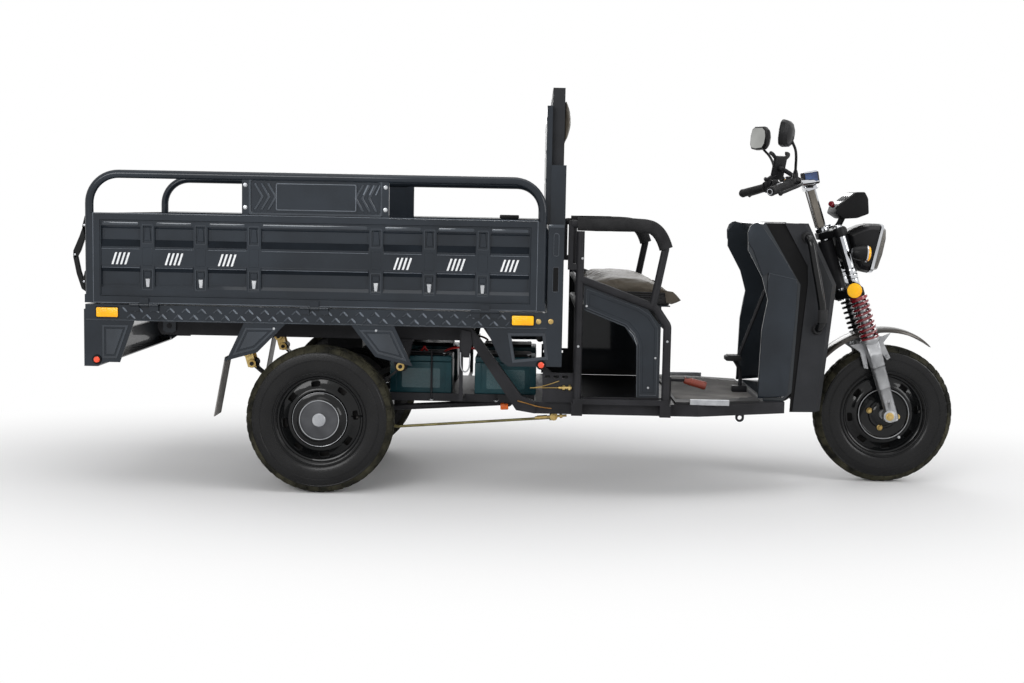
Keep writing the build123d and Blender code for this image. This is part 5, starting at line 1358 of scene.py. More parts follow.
def side_relief():
    """Beads, rib windows, slashes and the panel's border for the right-hand side."""
    shape = bmesh.new()
    corners = (
        (side_low.x, side_low.z), (side_high.x, side_low.z), (side_high.x, side_high.z),
        (side_low.x, side_high.z),
    )
    ways = ((-1, -1), (1, -1), (1, 1), (-1, 1))
    rim = [(x + 0.002 * way_x, z + 0.002 * way_z) for (x, z), (way_x, way_z) in zip(corners, ways)]
    # The ring round the panel's border and the thin ring outside it take the bright finish: painted highlight
    # lines.
    add(shape, frame_part(drawn_in(rim, -0.003), rim, face - 0.003, face + 0.003, 0.0008), 4)
    add(shape, frame_part(drawn_in(rim, -0.027), drawn_in(rim, -0.025), -0.5408, -0.5395), 4)
    for number, (x0, x1) in enumerate(bays):
        # The bead at the top of each bay takes the relief finish: painted highlight.
        bead = rounded_bar(x0 + 0.006, x1 - 0.006, top - 0.0155, top - 0.0035, 0.0055)
        add(shape, plate_part(bead, face - 0.0024, face + 0.001, 0.0009, 2), 1)
        for low, high in ((0.0665, 0.0275), (0.2265, 0.1805)):
            bar = (x0 + 0.007, x1 - 0.007, top - low, top - high)
            add(shape, ring_part(bar, (0.003, 0.0025), (0.008, 0.006), (face + 0.0078, face + 0.0095)))
        for step in range(4) if number != plain_bay else ():
            slash = slanted((x0 + x1) / 2 + (step - 1.5) * 0.0155, top - 0.1345, 0.007, 0.043, 0.014)
            add(shape, plate_part(slash, face - 0.0005, face + 0.0005), 2)
        x0, x1 = x0 + 0.002, x1 - 0.002
        for low, high, y in ((0.1685, 0.1585, 0.0022), (0.1, 0.092, 0.006)):
            add(shape, block_part((x0, face - 0.0012, top - low), (x1, face + y, top - high), 0.0006))
        # Thin plates of dark, dull paint lie on the slopes above and below the raised band: painted shade.
        for y, z, lean, back, half in (
            (-0.5328, 0.083, -atan2(0.009, 0.032), -0.0006, 0.0166),
            (-0.5326, 0.1752, atan2(0.009, 0.018), -0.0004, 0.0076),
        ):
            slope = shift(0, y, top - z) @ Matrix.Rotation(lean, 4, "X")
            add(shape, block_part((x0 - 0.001, back, -half), (x1 + 0.001, 0.0004, half)), 6, slope)
        # Thin strips along the band's top and bottom edges take the bright finish: painted highlight lines.
        for low in (0.101, 0.1685):
            add(shape, block_part((x0, face - 0.0018, top - low), (x1, face, top - low + 0.0016), 0.0005), 4)
    for x in ribs:
        # The lower, keystone wedge in each rib window takes bright zinc: painted highlight. The other two
        # wedges take the body paint.
        for foot, head, low, high, look in (
            (0.0125, 0.0085, 0.07, 0.021, 0), (0.0055, 0.0085, 0.237, 0.206, 3),
            (0.0125, 0.0125, 0.2, 0.18, 0),
        ):
            wedge = [
                (x - foot, top - low), (x + foot, top - low), (x + head, top - high), (x - head, top - high),
            ]
            add(shape, plate_part(wedge, face + 0.001, face + 0.0045, 0.0012), look)
        # The rings round the rib windows take the relief finish: painted highlight.
        for low, high in ((0.0805, 0.0105), (0.2475, 0.1705)):
            bar = (x - 0.0195, x + 0.0195, top - low, top - high)
            add(shape, ring_part(bar, (0.0025, 0.0025), (0.004, 0.003), (face - 0.0012, face + 0.001)), 1)
        plain = rounded_bar(x - 0.017, x + 0.017, top - 0.158, top - 0.094, 0.003)
        add(shape, plate_part(plain, face - 0.0012, face + 0.001, 0.0006))
    return shape


def sign_relief():
    """The border, the chevrons at both ends and the hatching of the sign panel, its middle left bare."""
    shape = bmesh.new()
    half, low, high = 0.264, 1.0105, 1.1505
    face = -0.5265
    bar = (bed_middle - half + 0.022, bed_middle + half - 0.022, low + 0.004, high - 0.004)
    # The border ring and the chevrons take the relief finish: painted highlight.
    add(shape, ring_part(bar, (0.009, 0.009), (0.01, 0.008), (face - 0.0055, face + 0.001), 0.001), 1)
    for side in (-1, 1):
        for number in range(3):
            tip = bed_middle + side * (0.224 - number * 0.024)
            chevron = [
                (tip, low + 0.022), (tip - side * 0.028, (low + high) / 2), (tip, high - 0.022),
                (tip - side * 0.01, high - 0.022), (tip - side * 0.038, (low + high) / 2),
                (tip - side * 0.01, low + 0.022),
            ]
            add(shape, plate_part(chevron, face - 0.0036, face + 0.001, 0.001), 1)
    plaque = rounded_bar(bed_middle - 0.146, bed_middle + 0.15, low + 0.018, high - 0.018, 0.01)
    add(shape, plate_part(plaque, face - 0.003, face + 0.001))
    # The ring inside the plaque's edge and the hatching take the bright finish: painted highlight.
    add(shape, frame_part(drawn_in(plaque, 0.004), drawn_in(plaque, 0.0065), face - 0.0038, face - 0.002), 4)
    for number in range(3):
        slash = slanted(bed_middle + 0.18 + number * 0.022, high - 0.04, 0.006, 0.036, 0.016)
        add(shape, plate_part(slash, face - 0.0044, face + 0.001, 0.0008), 4)
    for x in (-half + 0.012, half - 0.012):
        for z in (low + 0.03, high - 0.03):
            add(shape, bolt_part(0.0055, 0.005), 3, outward(bed_middle + x, -0.533, z, -1))
    return shape


for side_name, mirror_y in (("right", 1), ("left", -1)):
    shape = side_relief()
    add(shape, sign_relief(), None)
    if mirror_y < 0:
        bmesh.ops.scale(shape, vec=(1, -1, 1), verts=shape.verts)
        bmesh.ops.reverse_faces(shape, faces=shape.faces)
        add(shape, block_part((-0.147, 0.51, 1.0095), (-0.064, 0.538, 1.026), 0.004, 2), 5)
    settle(
        f"side_pressings_{side_name}", shape, f"drop_side_{side_name}",
        (
            "gloss_paint", "relief_painted_highlight", "white_stripe", "bright_zinc", "glint_painted_highlight", "black_rubber",
            "slope_painted_shade",
        ),
        (), 30,
    )

# %% [markdown]
# The floor's edge skirts are tread plate: short raised bars that lean left and right in turn. Each
# bar is a small bevelled block of a few faces, because there are hundreds of them.

# %% Tread bars on the skirts
skirt_face, skirt_low = 0.535, 0.624
shape = bmesh.new()
bar = plate_part(mm((-14, 0), (-8, -3.4), (8, -3.4), (14, 0), (8, 3.4), (-8, 3.4)), -0.0024, 0.0006, 0.0012)
columns, bars_start, bars_length = 49, -1.47, 1.37
# The bars that lean one way take the bright finish as painted glints, the others the relief finish, a milder
# painted highlight.
for lean, look, offset, phase in ((46, 2, 0.0, 0), (-46, 0, 0.0143, 1)):
    turn = Matrix.Rotation(radians(lean), 4, "Y")
    places = []
    for column in range(columns):
        x = bars_start + column * (bars_length / (columns - 1)) + offset
        height = 0.017 if (column + phase) % 2 else 0.041
        places.append(shift(x, -skirt_face, skirt_low + height) @ turn)
    add(shape, bar, look, places, keep=True)
bar.free()
# The strip along the skirt's foot takes the relief finish: painted highlight.
add(
    shape,
    block_part(
        (-1.612, -skirt_face - 0.0014, skirt_low), (0.056, -skirt_face + 0.001, skirt_low + 0.0045), 0.0008,
    ),
)
add(shape, bolt_part(0.007, 0.006), 1, outward(0.026, -skirt_face, 0.651, -1))
both_sides(shape)
settle(
    "skirt_tread_bars", shape, "cargo_bed", ("relief_painted_highlight", "yellow_zinc", "glint_painted_highlight"), (),
    30,
)

# %% [markdown]
# Reflectors and lamps are mouldings with a base, a rim and a lens. The lens face is divided into
# panes by thin ribs, which reads as a lamp even when it's unlit.

# %% Reflectors and tail lamps
shape = bmesh.new()
for x0 in (-1.574, -0.071):
    base = rounded_bar(x0 - 0.003, x0 + 0.083, 0.633, 0.675, 0.006)
    add(shape, plate_part(base, -0.5365, -0.5345, 0.0006), 1)
    lens = rounded_bar(x0 + 0.001, x0 + 0.079, 0.637, 0.671, 0.004)
    add(shape, plate_part(lens, -0.5395, -0.536, 0.0012, 2))
    for pane in range(1, 4):
        x = x0 + 0.02 * pane
        add(shape, block_part((x - 0.0006, -0.5399, 0.64), (x + 0.0006, -0.539, 0.668), 0.0002))
both_sides(shape)
settle(
    "reflector_lenses", shape, "cargo_bed", ("amber_lens", "black_plastic"),
    ("side_reflectors",), 30,
)

shape = bmesh.new()
for y0, y1 in ((-0.46, -0.396), (0.396, 0.46)):
    add(shape, block_part((-1.619, y0, 0.628), (-1.614, y1, 0.668), 0.0015), 1)
    for number, look in enumerate((0, 0, 2)):
        a = y0 + 0.003 + number * 0.0195
        add(shape, block_part((-1.624, a, 0.631), (-1.618, a + 0.0185, 0.665), 0.002, 2), look)
settle(
    "tail_lamp_lenses", shape, "cargo_bed", ("red_lens", "black_plastic", "amber_lens"),
    ("tail_lamps",), 30,
)

# %% Red marker lamps on the bumper plates and front skirt panels
shape = bmesh.new()
for x, z in ((-1.573, 0.481), (0.038, 0.494)):
    place = outward(x, -0.532, z, -1)
    add(shape, turned_part(mm((0, 0), (16, 0), (17.5, 2), (16.5, 5), (12.5, 5.6), (0, 4)), 32), 1, place)
    add(shape, turned_part(mm((11.5, 4.2), (10.8, 7.6), (8, 9.8), (0, 10.6)), 32), 0, place)
both_sides(shape)
settle("marker_lamps", shape, "cargo_bed", ("marker_lens", "deep_black"), (), 30)

# %% [markdown]
# Guards, bumper plates and the front skirt panels are stiffened by raised lines that follow their
# outline. Each line is a strip between two outlines, set just on the surface.

# %% Raised lines on guards and plates
guard_face = -0.532
rear_guard = mm((-1041, 620), (-1104, 486), (-991, 518), (-888, 620))
front_guard = mm((-648, 621), (-562, 511), (-427, 479), (-495, 621))
bumper_plate = mm((-1566, 620), (-1566, 474), (-1492, 474), (-1441, 620))
shape = bmesh.new()
# The raised lines, the plates inside them and the window's border take the relief finish: painted highlight.
for outline in (rear_guard, front_guard, bumper_plate):
    strip = frame_part(
        drawn_in(outline, 0.012), drawn_in(outline, 0.02), guard_face - 0.0022, guard_face + 0.001, 0.0006,
    )
    add(shape, strip)
    add(shape, plate_part(drawn_in(outline, 0.026), guard_face - 0.0016, guard_face + 0.001, 0.0008))
window = mm((-71, 596), (40, 598), (50, 524), (-56, 512))
add(
    shape,
    frame_part(
        drawn_in(window, -0.012), drawn_in(window, -0.002), guard_face - 0.0022, guard_face + 0.001, 0.0006,
    ),
)
for x, z in ((-0.93, 0.606), (-0.56, 0.606)):
    add(shape, bolt_part(0.005, 0.0032, False), 1, outward(x, guard_face, z, -1))
both_sides(shape)
settle("guard_beads", shape, "cargo_bed", ("relief_painted_highlight", "bright_zinc"), (), 30)

# %% Pressings on the headboard posts and the back panel
shape = bmesh.new()
# The pressings on the posts, the cap and the bars on the back panel take the relief finish: painted
# highlight.
bottle = rounded_bar(0.073, 0.095, 0.885, 0.97, 0.01, 6)
add(shape, frame_part(bottle, drawn_in(bottle, 0.004), -0.534, -0.531, 0.0005))
slot_outline = rounded_bar(0.075, 0.093, 0.76, 0.846, 0.003)
add(shape, plate_part(slot_outline, -0.5326, -0.531), 1)
add(shape, frame_part(drawn_in(slot_outline, -0.003), slot_outline, -0.5336, -0.531, 0.0004))
add(shape, block_part((0.0555, -0.5335, 0.989), (0.1125, -0.496, 1.001), 0.002, 2))
add(shape, bolt_part(0.007, 0.006), 2, outward(0.07, -0.532, 0.652, -1))
both_sides(shape)
for z in (1.06, 1.16, 1.26, 1.38):
    add(shape, block_part((0.0405, -0.44, z - 0.006), (0.0425, 0.44, z + 0.006), 0.001))
settle(
    "headboard_pressings", shape, "cargo_bed", ("relief_painted_highlight", "deep_black", "yellow_zinc", "bright_zinc"),
    (), 30,
)


# %% [markdown]
# The two cushions are vinyl over foam. Each starts as a slightly small closed form, is remeshed to
# an even grid, and is blown up by a short cloth simulation with a cap on how far it may swell. The
# vinyl stays held where it rests and along its seam, so it crowns and puckers like a stitched
# cover. The seam's groove and the bunched folds come after that.

# %% Cushion simulation
scene = bpy.context.scene


def clamped(value):
    """The value, kept between 0 and 1."""
    return min(1.0, max(0.0, value))


def evened(obj, voxel):
    """Replaces an object's mesh by an evenly remeshed copy."""
    grid = obj.modifiers.new("even_grid", "REMESH")
    grid.mode, grid.voxel_size, grid.use_smooth_shade = "VOXEL", voxel, True
    result = bpy.data.meshes.new_from_object(obj.evaluated_get(bpy.context.evaluated_depsgraph_get()))
    obj.modifiers.clear()
    obj.data = result


def blown_up(obj, hold, cap, pressure=4.0, slack=0.02):
    """Swells the cover by cloth pressure, held by hold(point) from 0 to 1, and moved by cap at most."""
    start = [vertex.co.copy() for vertex in obj.data.vertices]
    held = obj.vertex_groups.new(name="held")
    for number, point in enumerate(start):
        held.add([number], clamped(hold(point)), "REPLACE")
    cover = obj.modifiers.new("cover", "CLOTH")
    wear = cover.settings
    wear.quality, wear.mass, wear.air_damping = 5, 0.35, 4
    wear.tension_stiffness = wear.compression_stiffness = 9
    wear.shear_stiffness, wear.bending_stiffness = 4, 0.6
    wear.shrink_min = -slack
    wear.use_pressure, wear.uniform_pressure_force = True, pressure
    wear.vertex_group_mass, wear.pin_stiffness = "held", 3
    wear.effector_weights.gravity = 0
    cover.collision_settings.use_collision = False
    cover.point_cache.frame_start, cover.point_cache.frame_end = 1, 20
    for step in range(1, 21):
        scene.frame_set(step)
    swollen = obj.evaluated_get(bpy.context.evaluated_depsgraph_get()).to_mesh()
    moved = [vertex.co.copy() for vertex in swollen.vertices]
    obj.modifiers.clear()
    obj.vertex_groups.clear()
    farthest = 0.0
    for vertex, old, new in zip(obj.data.vertices, start, moved):
        step = new - old
        farthest = max(farthest, step.length)
        vertex.co = old + step * min(1.0, cap / max(step.length, 1e-9))
    scene.frame_set(1)
    print(obj.name, "swelled by up to", round(farthest * 1000, 1), "mm, capped at", round(cap * 1000), "mm")


def kept_inside(obj, low, high):
    """Rounds off what stands further out than the room that the cushion has."""
    for vertex in obj.data.vertices:
        for axis in range(3):
            over = vertex.co[axis] - high[axis]
            under = low[axis] - vertex.co[axis]
            if over > 0:
                vertex.co[axis] = high[axis] + over * 0.1
            if under > 0:
                vertex.co[axis] = low[axis] - under * 0.1


def finished_cushion(obj, fold):
    """Sews the seam and the folds along each normal, then smooths the cover once."""
    normals = [vertex.normal.copy() for vertex in obj.data.vertices]
    for vertex, normal in zip(obj.data.vertices, normals):
        vertex.co += normal * fold(vertex.co, normal)
    smooth = obj.modifiers.new("smooth", "SUBSURF")
    smooth.levels = smooth.render_levels = 1


# %% Seat cushion
seat_low, seat_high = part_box("seat_cushion")
seam_height = seat_low.z + 0.046
shape = plate_part(
    mm((196, 720), (208, 788), (300, 797), (400, 794), (480, 774), (518, 748), (502, 720)),
    -0.42, 0.42,
)
bmesh.ops.bevel(
    shape, geom=shape.edges[:], offset=0.013, segments=2, profile=0.6, affect="EDGES", clamp_overlap=True,
)
cushion = settle(
    "seat_cushion_vinyl", shape, "chassis", ("seat_vinyl",), ("seat_cushion",), 180,
)
evened(cushion, 0.0075)


def seat_hold(p):
    """Held fast where the cushion rests, and by half along its seam."""
    if p.z < seat_low.z + 0.014:
        return 1.0
    return 0.55 * max(0.0, 1 - abs(p.z - seam_height) / 0.007)


blown_up(cushion, seat_hold, 0.013)
kept_inside(
    cushion, Vector((seat_low.x + 0.002, seat_low.y, seat_low.z + 0.001)),
    Vector((0.527, seat_high.y, seat_high.z)),
)


def seat_folds(p, normal):
    """The seam's groove, the bunched rear and a slow waviness of the cover."""
    groove = -0.0042 * max(0.0, 1 - abs(p.z - seam_height) / 0.006) * (1 - abs(normal.z))
    rear = max(0.0, (0.3 - p.x) / 0.11)
    bunch = 0.005 * rear * noise.noise(Vector((p.x * 26, p.y * 30, p.z * 60)))
    corner = max(0.0, abs(p.y) - 0.3) / 0.13
    pucker = 0.0045 * corner * noise.noise(Vector((p.x * 22 + p.y * 40, p.y * 14, p.z * 46)))
    return groove + bunch + pucker + 0.0016 * noise.noise(p * 17)


finished_cushion(cushion, seat_folds)

# %% Vinyl skirt at the cushion's front corners
shape = bmesh.new()
flap = mm((486, 766), (516, 762), (530, 750), (547, 731), (530, 722), (511, 716), (492, 722))
skirt = plate_part(flap, -0.4285, -0.4262)
bmesh.ops.subdivide_edges(skirt, edges=skirt.edges[:], cuts=2, use_grid_fill=True)
for vertex in skirt.verts:
    vertex.co.y += 0.006 * max(0.0, vertex.co.x - 0.505) / 0.04 + 0.0014 * sin(vertex.co.z * 420)
add(shape, skirt)
both_sides(shape)
under = plate_part(mm((206, 713), (206, 752), (498, 752), (505, 713)), -0.4245, 0.4245, 0.004, 2)
add(shape, under, 1)
for side in (-1, 1):
    for number, height in enumerate((0.757, 0.7495, 0.742)):
        length = 0.5 - number * 0.012
        path = [
            (0.24 + number * 0.03, side * 0.4225, height),
            (0.36, side * (0.4255 + 0.0012 * number), height + 0.0022),
            (length, side * 0.4225, height - 0.003),
        ]
        add(shape, wire_part(path, 0.0034, 8), 1)
settle("seat_skirt", shape, "chassis", ("seat_vinyl", "black_rubber"), (), 40)

# %% Back cushion and the board's edge
back_low, back_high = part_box("back_cushion")
shape = plate_part(
    mm((107, 1303), (107, 1448), (113, 1446), (121.5, 1405), (123.5, 1370), (120, 1335), (113, 1305)),
    -0.413, 0.413,
)
bmesh.ops.bevel(
    shape, geom=[e for e in shape.edges if min(v.co.x for v in e.verts) > 0.108], offset=0.003, segments=2,
    profile=0.6, affect="EDGES", clamp_overlap=True,
)
cushion = settle(
    "back_cushion_vinyl", shape, "cargo_bed", ("seat_vinyl",), ("back_cushion",), 180,
)
evened(cushion, 0.005)
blown_up(cushion, lambda p: 1.0 if p.x < 0.1095 else 0.0, 0.009, 3.0, 0.01)
kept_inside(cushion, back_low, back_high)


def back_folds(p, normal):
    """Two sewn channels from top to bottom, and a slow waviness."""
    channel = -0.003 * max(0.0, 1 - abs(abs(p.y) - 0.14) / 0.006) * max(0.0, normal.x)
    return channel + 0.0009 * max(0.0, normal.x) * noise.noise(p * 24)


finished_cushion(cushion, back_folds)

# %% [markdown]
# The armrests wear soft foam sleeves. The sleeve is thicker where the arm lies and again at the
# front bend, and it ends in a ragged cut below the bend.

# %% Armrest sleeves
shape = bmesh.new()
arm = mm((160, 1004), (300, 1004), (412, 1003), (446, 988), (472, 952), (482, 920))
sleeve = wire_part([(x, -0.478, z) for x, z in arm], 0.0249, 24)
for vertex in sleeve.verts:
    along = clamped((vertex.co.x - 0.18) / 0.03) * clamped((0.35 - vertex.co.x) / 0.03)
    bend = clamped((vertex.co.x - 0.425) / 0.02) * (1.0 if vertex.co.z < 1.015 else 0.6)
    swell = 1 + 0.03 * along + 0.05 * bend
    middle_line = Vector((vertex.co.x, -0.478, 1.004 if vertex.co.x < 0.42 else vertex.co.z))
    away = vertex.co - middle_line
    vertex.co = middle_line + away * swell + away.normalized() * 0.001 * noise.noise(vertex.co * 90)
add(shape, sleeve)
pad_outline = rounded_bar(0.196, 0.334, 1.0195, 1.029, 0.004)
add(shape, plate_part(pad_outline, -0.492, -0.464, 0.003, 2))
both_sides(shape)
settle("armrest_sleeves", shape, "chassis", ("armrest_foam",), ("armrest_foam",), 60)

# %% [markdown]
# The bench's side panel is pressed too: a raised line runs parallel to its edges, and its window
# has a rolled border. Small domed screws hold it to the tube frame.

# %% Side panel pressings of the bench
side_panel = mm(
    (189, 783), (395, 712), (440, 684), (473, 634), (473, 371), (390, 371), (387, 560), (372, 600),
    (341, 633), (189, 692),
)
panel_skin = -0.458
shape = bmesh.new()
# The raised line and the rolled wire nearer the edge take the relief finish: painted highlight. The other
# wire keeps the body paint.
add(
    shape,
    frame_part(
        drawn_in(side_panel, 0.009), drawn_in(side_panel, 0.0125), panel_skin - 0.002, panel_skin + 0.0008,
        0.0006,
    ),
    1,
)
add(shape, plate_part(drawn_in(side_panel, 0.022), panel_skin - 0.0012, panel_skin + 0.0008, 0.0008))
for inset, lift in ((0.0015, 0.0045), (0.007, 0.0022)):
    roll = mm((189, 692), (341, 633), (372, 600), (387, 560), (390, 374))
    line = [(x + inset * 0.6, panel_skin - lift * 0.6, z + inset) for x, z in roll]
    add(shape, wire_part(line, 0.0021, 8, False), 1 if lift > 0.003 else 0)
for x, z in ((0.432, 0.41), (0.456, 0.69), (0.2, 0.706), (0.456, 0.52)):
    add(shape, bolt_part(0.0048, 0.0032, False), 2, outward(x, panel_skin - 0.0018, z, -1))
both_sides(shape)
for x, z in ((0.495, 0.584), (0.18, 0.88), (0.172, 0.56)):
    for side in (-1, 1):
        add(shape, bolt_part(0.005, 0.0038, False), 2, outward(x, side * 0.4895, z, side))
flange = block_part((0.187, -0.4612, 0.3475), (0.487, -0.4588, 0.373), 0.0006)
add(shape, flange, 3, [Matrix.Identity(4), Matrix.Scale(-1, 4, (0, 1, 0))])
settle(
    "bench_side_pressings", shape, "chassis", ("gloss_paint", "relief_painted_highlight", "bright_zinc", "frame_black"),
    (), 30,
)


# %% [markdown]
# Under the bed are four batteries with ribbed lids and strap bolts, held in the tray by thin rods.
# Their label places stay bare.

# %% Batteries, straps and terminals
shape = bmesh.new()
rear_x, front_x, case_length, case_top = -0.532, -0.211, 0.233, 0.505
for x0 in (rear_x, front_x):
    for side in (-1, 1):
        inner, outer = sorted((side * 0.11, side * 0.29))
        add(shape, block_part((x0, inner, 0.352), (x0 + case_length, outer, case_top - 0.034), 0.004, 2))
        lid_low = (x0 + 0.001, inner + 0.001, case_top - 0.033)
        lid_high = (x0 + case_length - 0.001, outer - 0.001, case_top - 0.012)
        add(shape, block_part(lid_low, lid_high, 0.004, 2))
        add(
            shape,
            block_part(
                (x0 + 0.02, inner + 0.02, case_top - 0.013),
                (x0 + case_length - 0.02, outer - 0.02, case_top - 0.002), 0.003, 1,
            ),
            1,
        )
        places = [shift(x0 + 0.024 + n * 0.0265, side * 0.29, 0.412) for n in (0, 7)]
        add(shape, block_part((-0.0015, -0.0009, -0.052), (0.0015, 0.0009, 0.052), 0.0006), 0, places)
        label = rounded_bar(x0 + 0.045, x0 + 0.19, 0.372, 0.446, 0.006)
        add(shape, plate_part(label, side * 0.2898, side * 0.2904), 3)
        for x in (x0 + 0.03, x0 + case_length - 0.03):
            add(
                shape,
                rod_part(
                    (x, side * 0.262, case_top - 0.012), (x, side * 0.262, case_top - 0.001), 0.008, sides=16,
                    edge=0.001,
                ),
                2,
            )
settle(
    "battery_cases", shape, "chassis", ("teal_case", "deep_black", "satin_cast", "battery_label"),
    ("batteries",), 30,
)

shape = bmesh.new()
for x in (-0.374, -0.128):
    add(shape, rod_part((x, -0.299, 0.327), (x, -0.299, 0.353 if x > -0.3 else 0.512), 0.0035, sides=10))
    add(shape, bolt_part(0.008, 0.006), 1, shift(x, -0.299, 0.33) @ turn_z_to((0, 0, -1)))
add(shape, rod_part((-0.536, -0.28, 0.508), (-0.295, -0.28, 0.508), 0.003, sides=10))
for a, b in (((-0.33, 0.507), (-0.18, 0.507)), ((-0.42, 0.507), (-0.39, 0.507))):
    middle_x, lift = (a[0] + b[0]) / 2, 0.02
    path = [
        (a[0], -0.262, a[1] - 0.002), (a[0] + 0.012, -0.262, a[1] + 0.012), (middle_x, -0.262, a[1] + lift),
        (b[0] - 0.012, -0.262, b[1] + 0.012), (b[0], -0.262, b[1] - 0.002),
    ]
    add(shape, wire_part(path, 0.0045, 10), 2)
both_sides(shape)
settle(
    "battery_straps", shape, "chassis", ("frame_black", "bright_zinc", "red_cable"), (), 40,
)

# %% Leaf springs' eyes, clips and nuts
shape = bmesh.new()
for y in (0.2895, 0.3705):
    way = -1 if y < 0.33 else 1
    place = [outward(x, y, z, way) for x, z in ((-1.042, 0.459), (-1.062, 0.5), (-0.486, 0.459))]
    add(shape, turned_part(mm((0, 0), (15, 0), (16, 1.2), (15, 2.4), (0, 2.4)), 28), 0, place)
    add(shape, bolt_part(0.0082, 0.008, False), 2, [shift(0, way * 0.002, 0) @ item for item in place])
for x in (-0.96, -0.585):
    slope = 0.425 if x < -0.8 else 0.42
    add(shape, block_part((x - 0.012, 0.303, slope - 0.03), (x + 0.012, 0.357, slope + 0.004), 0.003), 2)
for x in (-0.81, -0.726):
    for y in (0.298, 0.362):
        add(shape, bolt_part(0.01, 0.01), 1, shift(x, y, 0.244) @ turn_z_to((0, 0, -1)))
both_sides(shape)
settle(
    "spring_bolts_and_clips", shape, "chassis", ("yellow_zinc", "bright_zinc", "leaf_black"), (), 30,
)

# %% Axle, motor and controller details
shape = bmesh.new()
centre = Vector((-0.768, 0, 0.272))
for side in (-1, 1):
    ring = turned_part(mm((66, 0), (92, 0), (92, 10), (66, 10)), 40, True)
    add(shape, ring, 0, outward(centre.x, side * 0.04, centre.z, side))
    for number in range(8):
        a = tau * number / 8
        spot = outward(centre.x + 0.082 * cos(a), side * 0.05, centre.z + 0.082 * sin(a), side)
        add(shape, bolt_part(0.0065, 0.006, False), 2, spot)
for number in range(9):
    band = turned_part(mm((79, 0), (82, 0), (82, 4.5), (79, 4.5)), 40, True)
    add(shape, band, 1, shift(-0.652 + number * 0.0098, 0, centre.z) @ turn_z_to((1, 0, 0)))
add(
    shape, turned_part(mm((0, 0), (50, 0), (44, 6), (0, 7)), 32), 1,
    shift(-0.5535, 0, centre.z) @ turn_z_to((1, 0, 0)),
)
fins = [shift(-0.7225, y * 0.016, 0.542) for y in range(-8, 9)]
add(shape, block_part((-0.064, -0.0022, -0.038), (0.064, 0.0022, 0.037), 0.0008), 3, fins)
settle(
    "axle_and_motor_trim", shape, "chassis", ("satin_cast", "motor_grey", "bright_zinc", "bronze_grey"),
    (), 30,
)

# %% [markdown]
# The brake rod ends in a threaded yoke with a pin. Beside it a thin copper line runs along the
# frame, and a wire hook hangs below the outrigger. The rod of the axle ends in a rubber bush.

# %% Rod ends, copper line, hook and cable adjuster
shape = bmesh.new()
yoke_y = -0.4
for start, end, radius, sides, edge in (
    ((0.02, yoke_y, 0.2825), (0.138, yoke_y, 0.2925), 0.0045, 14, 0.0006),
    ((0.028, yoke_y, 0.2832), (0.066, yoke_y, 0.2865), 0.0068, 6, 0),
    ((0.09, yoke_y - 0.02, 0.289), (0.09, yoke_y + 0.02, 0.289), 0.006, 14, 0.001),
    ((0.112, yoke_y, 0.2903), (0.122, yoke_y, 0.2912), 0.0085, 6, 0),
):
    add(shape, rod_part(start, end, radius, sides=sides, edge=edge))
for y in (-0.4165, -0.3865):
    add(shape, bolt_part(0.0105, 0.005), 0, outward(0.09, y, 0.289, -1))
line = mm((-45, -462.5, 352), (4, -462.5, 340), (30, -462.5, 331), (80, -462.5, 326))
add(shape, wire_part(line, 0.002, 10), 1)
for z in (0.408, 0.419):
    add(
        shape,
        wire_part(
            [(0.0, -0.47, 0.402), (0.04, -0.4715, 0.4035), (0.106, -0.472, 0.405 if z < 0.41 else 0.43)],
            0.0016, 8,
        ),
    )
for x0, x1, radius, sides in (
    (0.104, 0.152, 0.0052, 14), (0.118, 0.128, 0.0098, 6), (0.14, 0.148, 0.0115, 6),
):
    rod = rod_part((x0, -0.472, 0.405), (x1, -0.472, 0.405), radius, sides=sides, edge=0.0006)
    add(shape, rod)
settle("brake_rod_end", shape, "chassis", ("yellow_zinc", "copper_line"), (), 30)

shape = bmesh.new()
add(shape, rod_part((-0.112, -0.25, 0.3035), (-0.082, -0.25, 0.305), 0.0165, sides=24, edge=0.003))
settle("torque_rod_bush", shape, "chassis", ("orange_tie",), (), 30)

shape = bmesh.new()
lug = mm((-256, 612), (-220, 604), (-214, 560), (-226, 508), (-246, 508), (-258, 545))
add(shape, plate_part(lug, -0.466, -0.4605, 0.001))
hook = mm(
    (-257, -464, 527), (-257, -468, 480), (-250, -468, 460), (-238, -468, 454), (-228, -468, 462),
    (-222, -468, 482), (-222, -464, 515),
)
add(shape, wire_part(hook, 0.0026, 10), 1)
both_sides(shape)
settle("outrigger_hooks", shape, "chassis", ("frame_black", "bright_zinc"), (), 40)

# %% [markdown]
# The floor mat has long ribs and an aluminium edge strip. The brake pedal's foot hangs on a lever
# that turns on a black bracket, and the parking lever has a fat tapered red grip.

# %% Mat ribs, edge strips, pedal and parking grip
mat_low, mat_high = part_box("floor_mat")
shape = bmesh.new()
for number in range(-13, 14):
    y = number * 0.0265
    reach_x = mat_high.x - 0.012 - max(0.0, abs(y) - 0.25) * 1.35
    add(
        shape,
        block_part(
            (mat_low.x + 0.01, y - 0.0035, mat_high.z - 0.001), (reach_x, y + 0.0035, mat_high.z + 0.0022),
            0.001,
        ),
    )
for side in (-1, 1):
    strip = block_part((0.588, -0.0035, 0.3475), (0.733, 0.0035, 0.369), 0.0015)
    add(shape, strip, 1, shift(0, side * 0.4455, 0))
settle("mat_ribs_and_strips", shape, "chassis", ("grey_rubber", "bright_zinc"), (), 30)

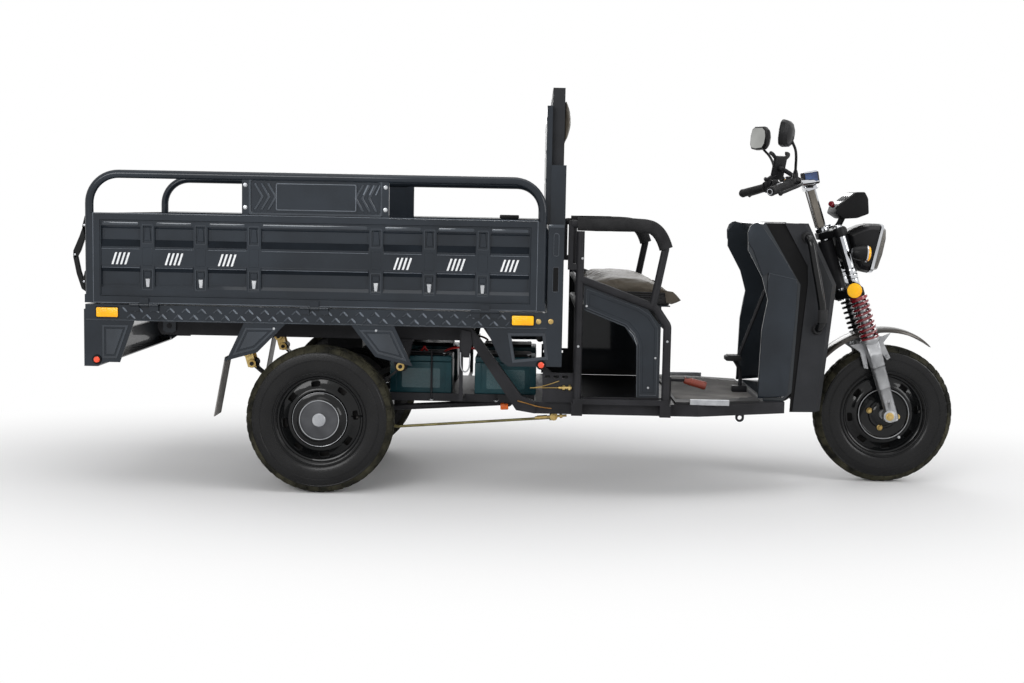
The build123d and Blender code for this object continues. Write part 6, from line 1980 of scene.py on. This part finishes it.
shape = bmesh.new()
sole = rounded_bar(0.758, 0.82, 0.48, 0.499, 0.006)
add(shape, plate_part(sole, -0.131, -0.069, 0.003, 2))
for number in range(5):
    x = 0.766 + number * 0.0115
    add(shape, block_part((x, -0.127, 0.4975), (x + 0.005, -0.073, 0.502), 0.001))
add(
    shape, wire_part(mm((792, -100, 486), (812, -100, 462), (822, -100, 420), (820, -100, 375)), 0.0075, 12),
    1,
)
add(shape, block_part((0.788, -0.118, 0.357), (0.846, -0.082, 0.382), 0.004, 2), 1)
settle("pedal_foot", shape, "chassis", ("black_rubber", "frame_black"), (), 30)

shape = bmesh.new()
start, end = Vector((0.574, -0.36, 0.43)), Vector((0.6555, -0.36, 0.4085))
length = (end - start).length
profile = [
    (0.0, 0.0), (0.012, 0.0), (0.0136, 0.004), (0.0138, 0.03), (0.0152, length - 0.018),
    (0.0162, length - 0.008), (0.0145, length - 0.001), (0.0, length),
]
add(shape, turned_part(profile, 28), 0, shift(*start) @ turn_z_to(end - start))
for number in range(4):
    at = start + (end - start) * (0.3 + 0.13 * number)
    ring = turned_part(mm((13, -1.8), (15.8, -1), (15.8, 1), (13, 1.8)), 28, True)
    add(shape, ring, 0, shift(*at) @ turn_z_to(end - start))
settle("parking_grip", shape, "chassis", ("red_grip",), (), 40)

# %% [markdown]
# The tailgate is pressed like the sides, with a raised field between its ribs. Each latch is an
# over-centre lever in three pieces: a base on the post, a hooked arm, and the hoop that it pulls.

# %% Tailgate field and latches
gate_face = -1.6195
shape = bmesh.new()
ribs_y = (-0.3636, -0.1818, 0.1818, 0.3636)
edges_y = [-0.47] + [y + way * 0.026 for y in ribs_y for way in (-1, 1)] + [0.47]
# The raised rings take the relief finish: painted highlight.
for number in range(0, len(edges_y), 2):
    y0, y1 = edges_y[number] + 0.008, edges_y[number + 1] - 0.008
    for low, high in ((0.724, 0.79), (0.806, 0.886), (0.902, 0.972)):
        ring = ring_part((y0, y1, low, high), (0.004, 0.004), (0.01, 0.007), (0, 0.0022), 0.0004)
        add(shape, ring, 0, shift(gate_face + 0.0005, 0, 0) @ Matrix.Rotation(pi / 2, 4, "Z"))
settle("tailgate_pressings", shape, "tailgate", ("relief_painted_highlight",), (), 30)

shape = bmesh.new()
for piece in (
    mm((-1620, 1000), (-1628.5, 998), (-1638, 960), (-1630, 925), (-1620, 925)),
    mm(
        (-1627, 985), (-1648, 925), (-1671, 872), (-1671.8, 856), (-1664, 846), (-1650, 872), (-1635, 915),
        (-1621, 955),
    ),
    mm(
        (-1668, 868), (-1671.8, 850), (-1660, 790), (-1642, 735), (-1630, 727), (-1633, 745), (-1650, 800),
        (-1660, 850),
    ),
    mm((-1620, 800), (-1630, 797), (-1638, 760), (-1630, 727), (-1620, 727)),
):
    add(shape, plate_part([(x + 0.0018, z) for x, z in drawn_in(piece, -0.0022)], -0.4875, -0.469, 0.0018, 2))
for x, z in ((-1.63, 0.965), (-1.665, 0.858), (-1.633, 0.76)):
    add(shape, rod_part((x, -0.4895, z), (x, -0.467, z), 0.0042, sides=14, edge=0.0008), 1)
both_sides(shape)
settle("gate_latches", shape, "tailgate", ("gloss_black", "bright_zinc"), ("tailgate_latches",), 30)
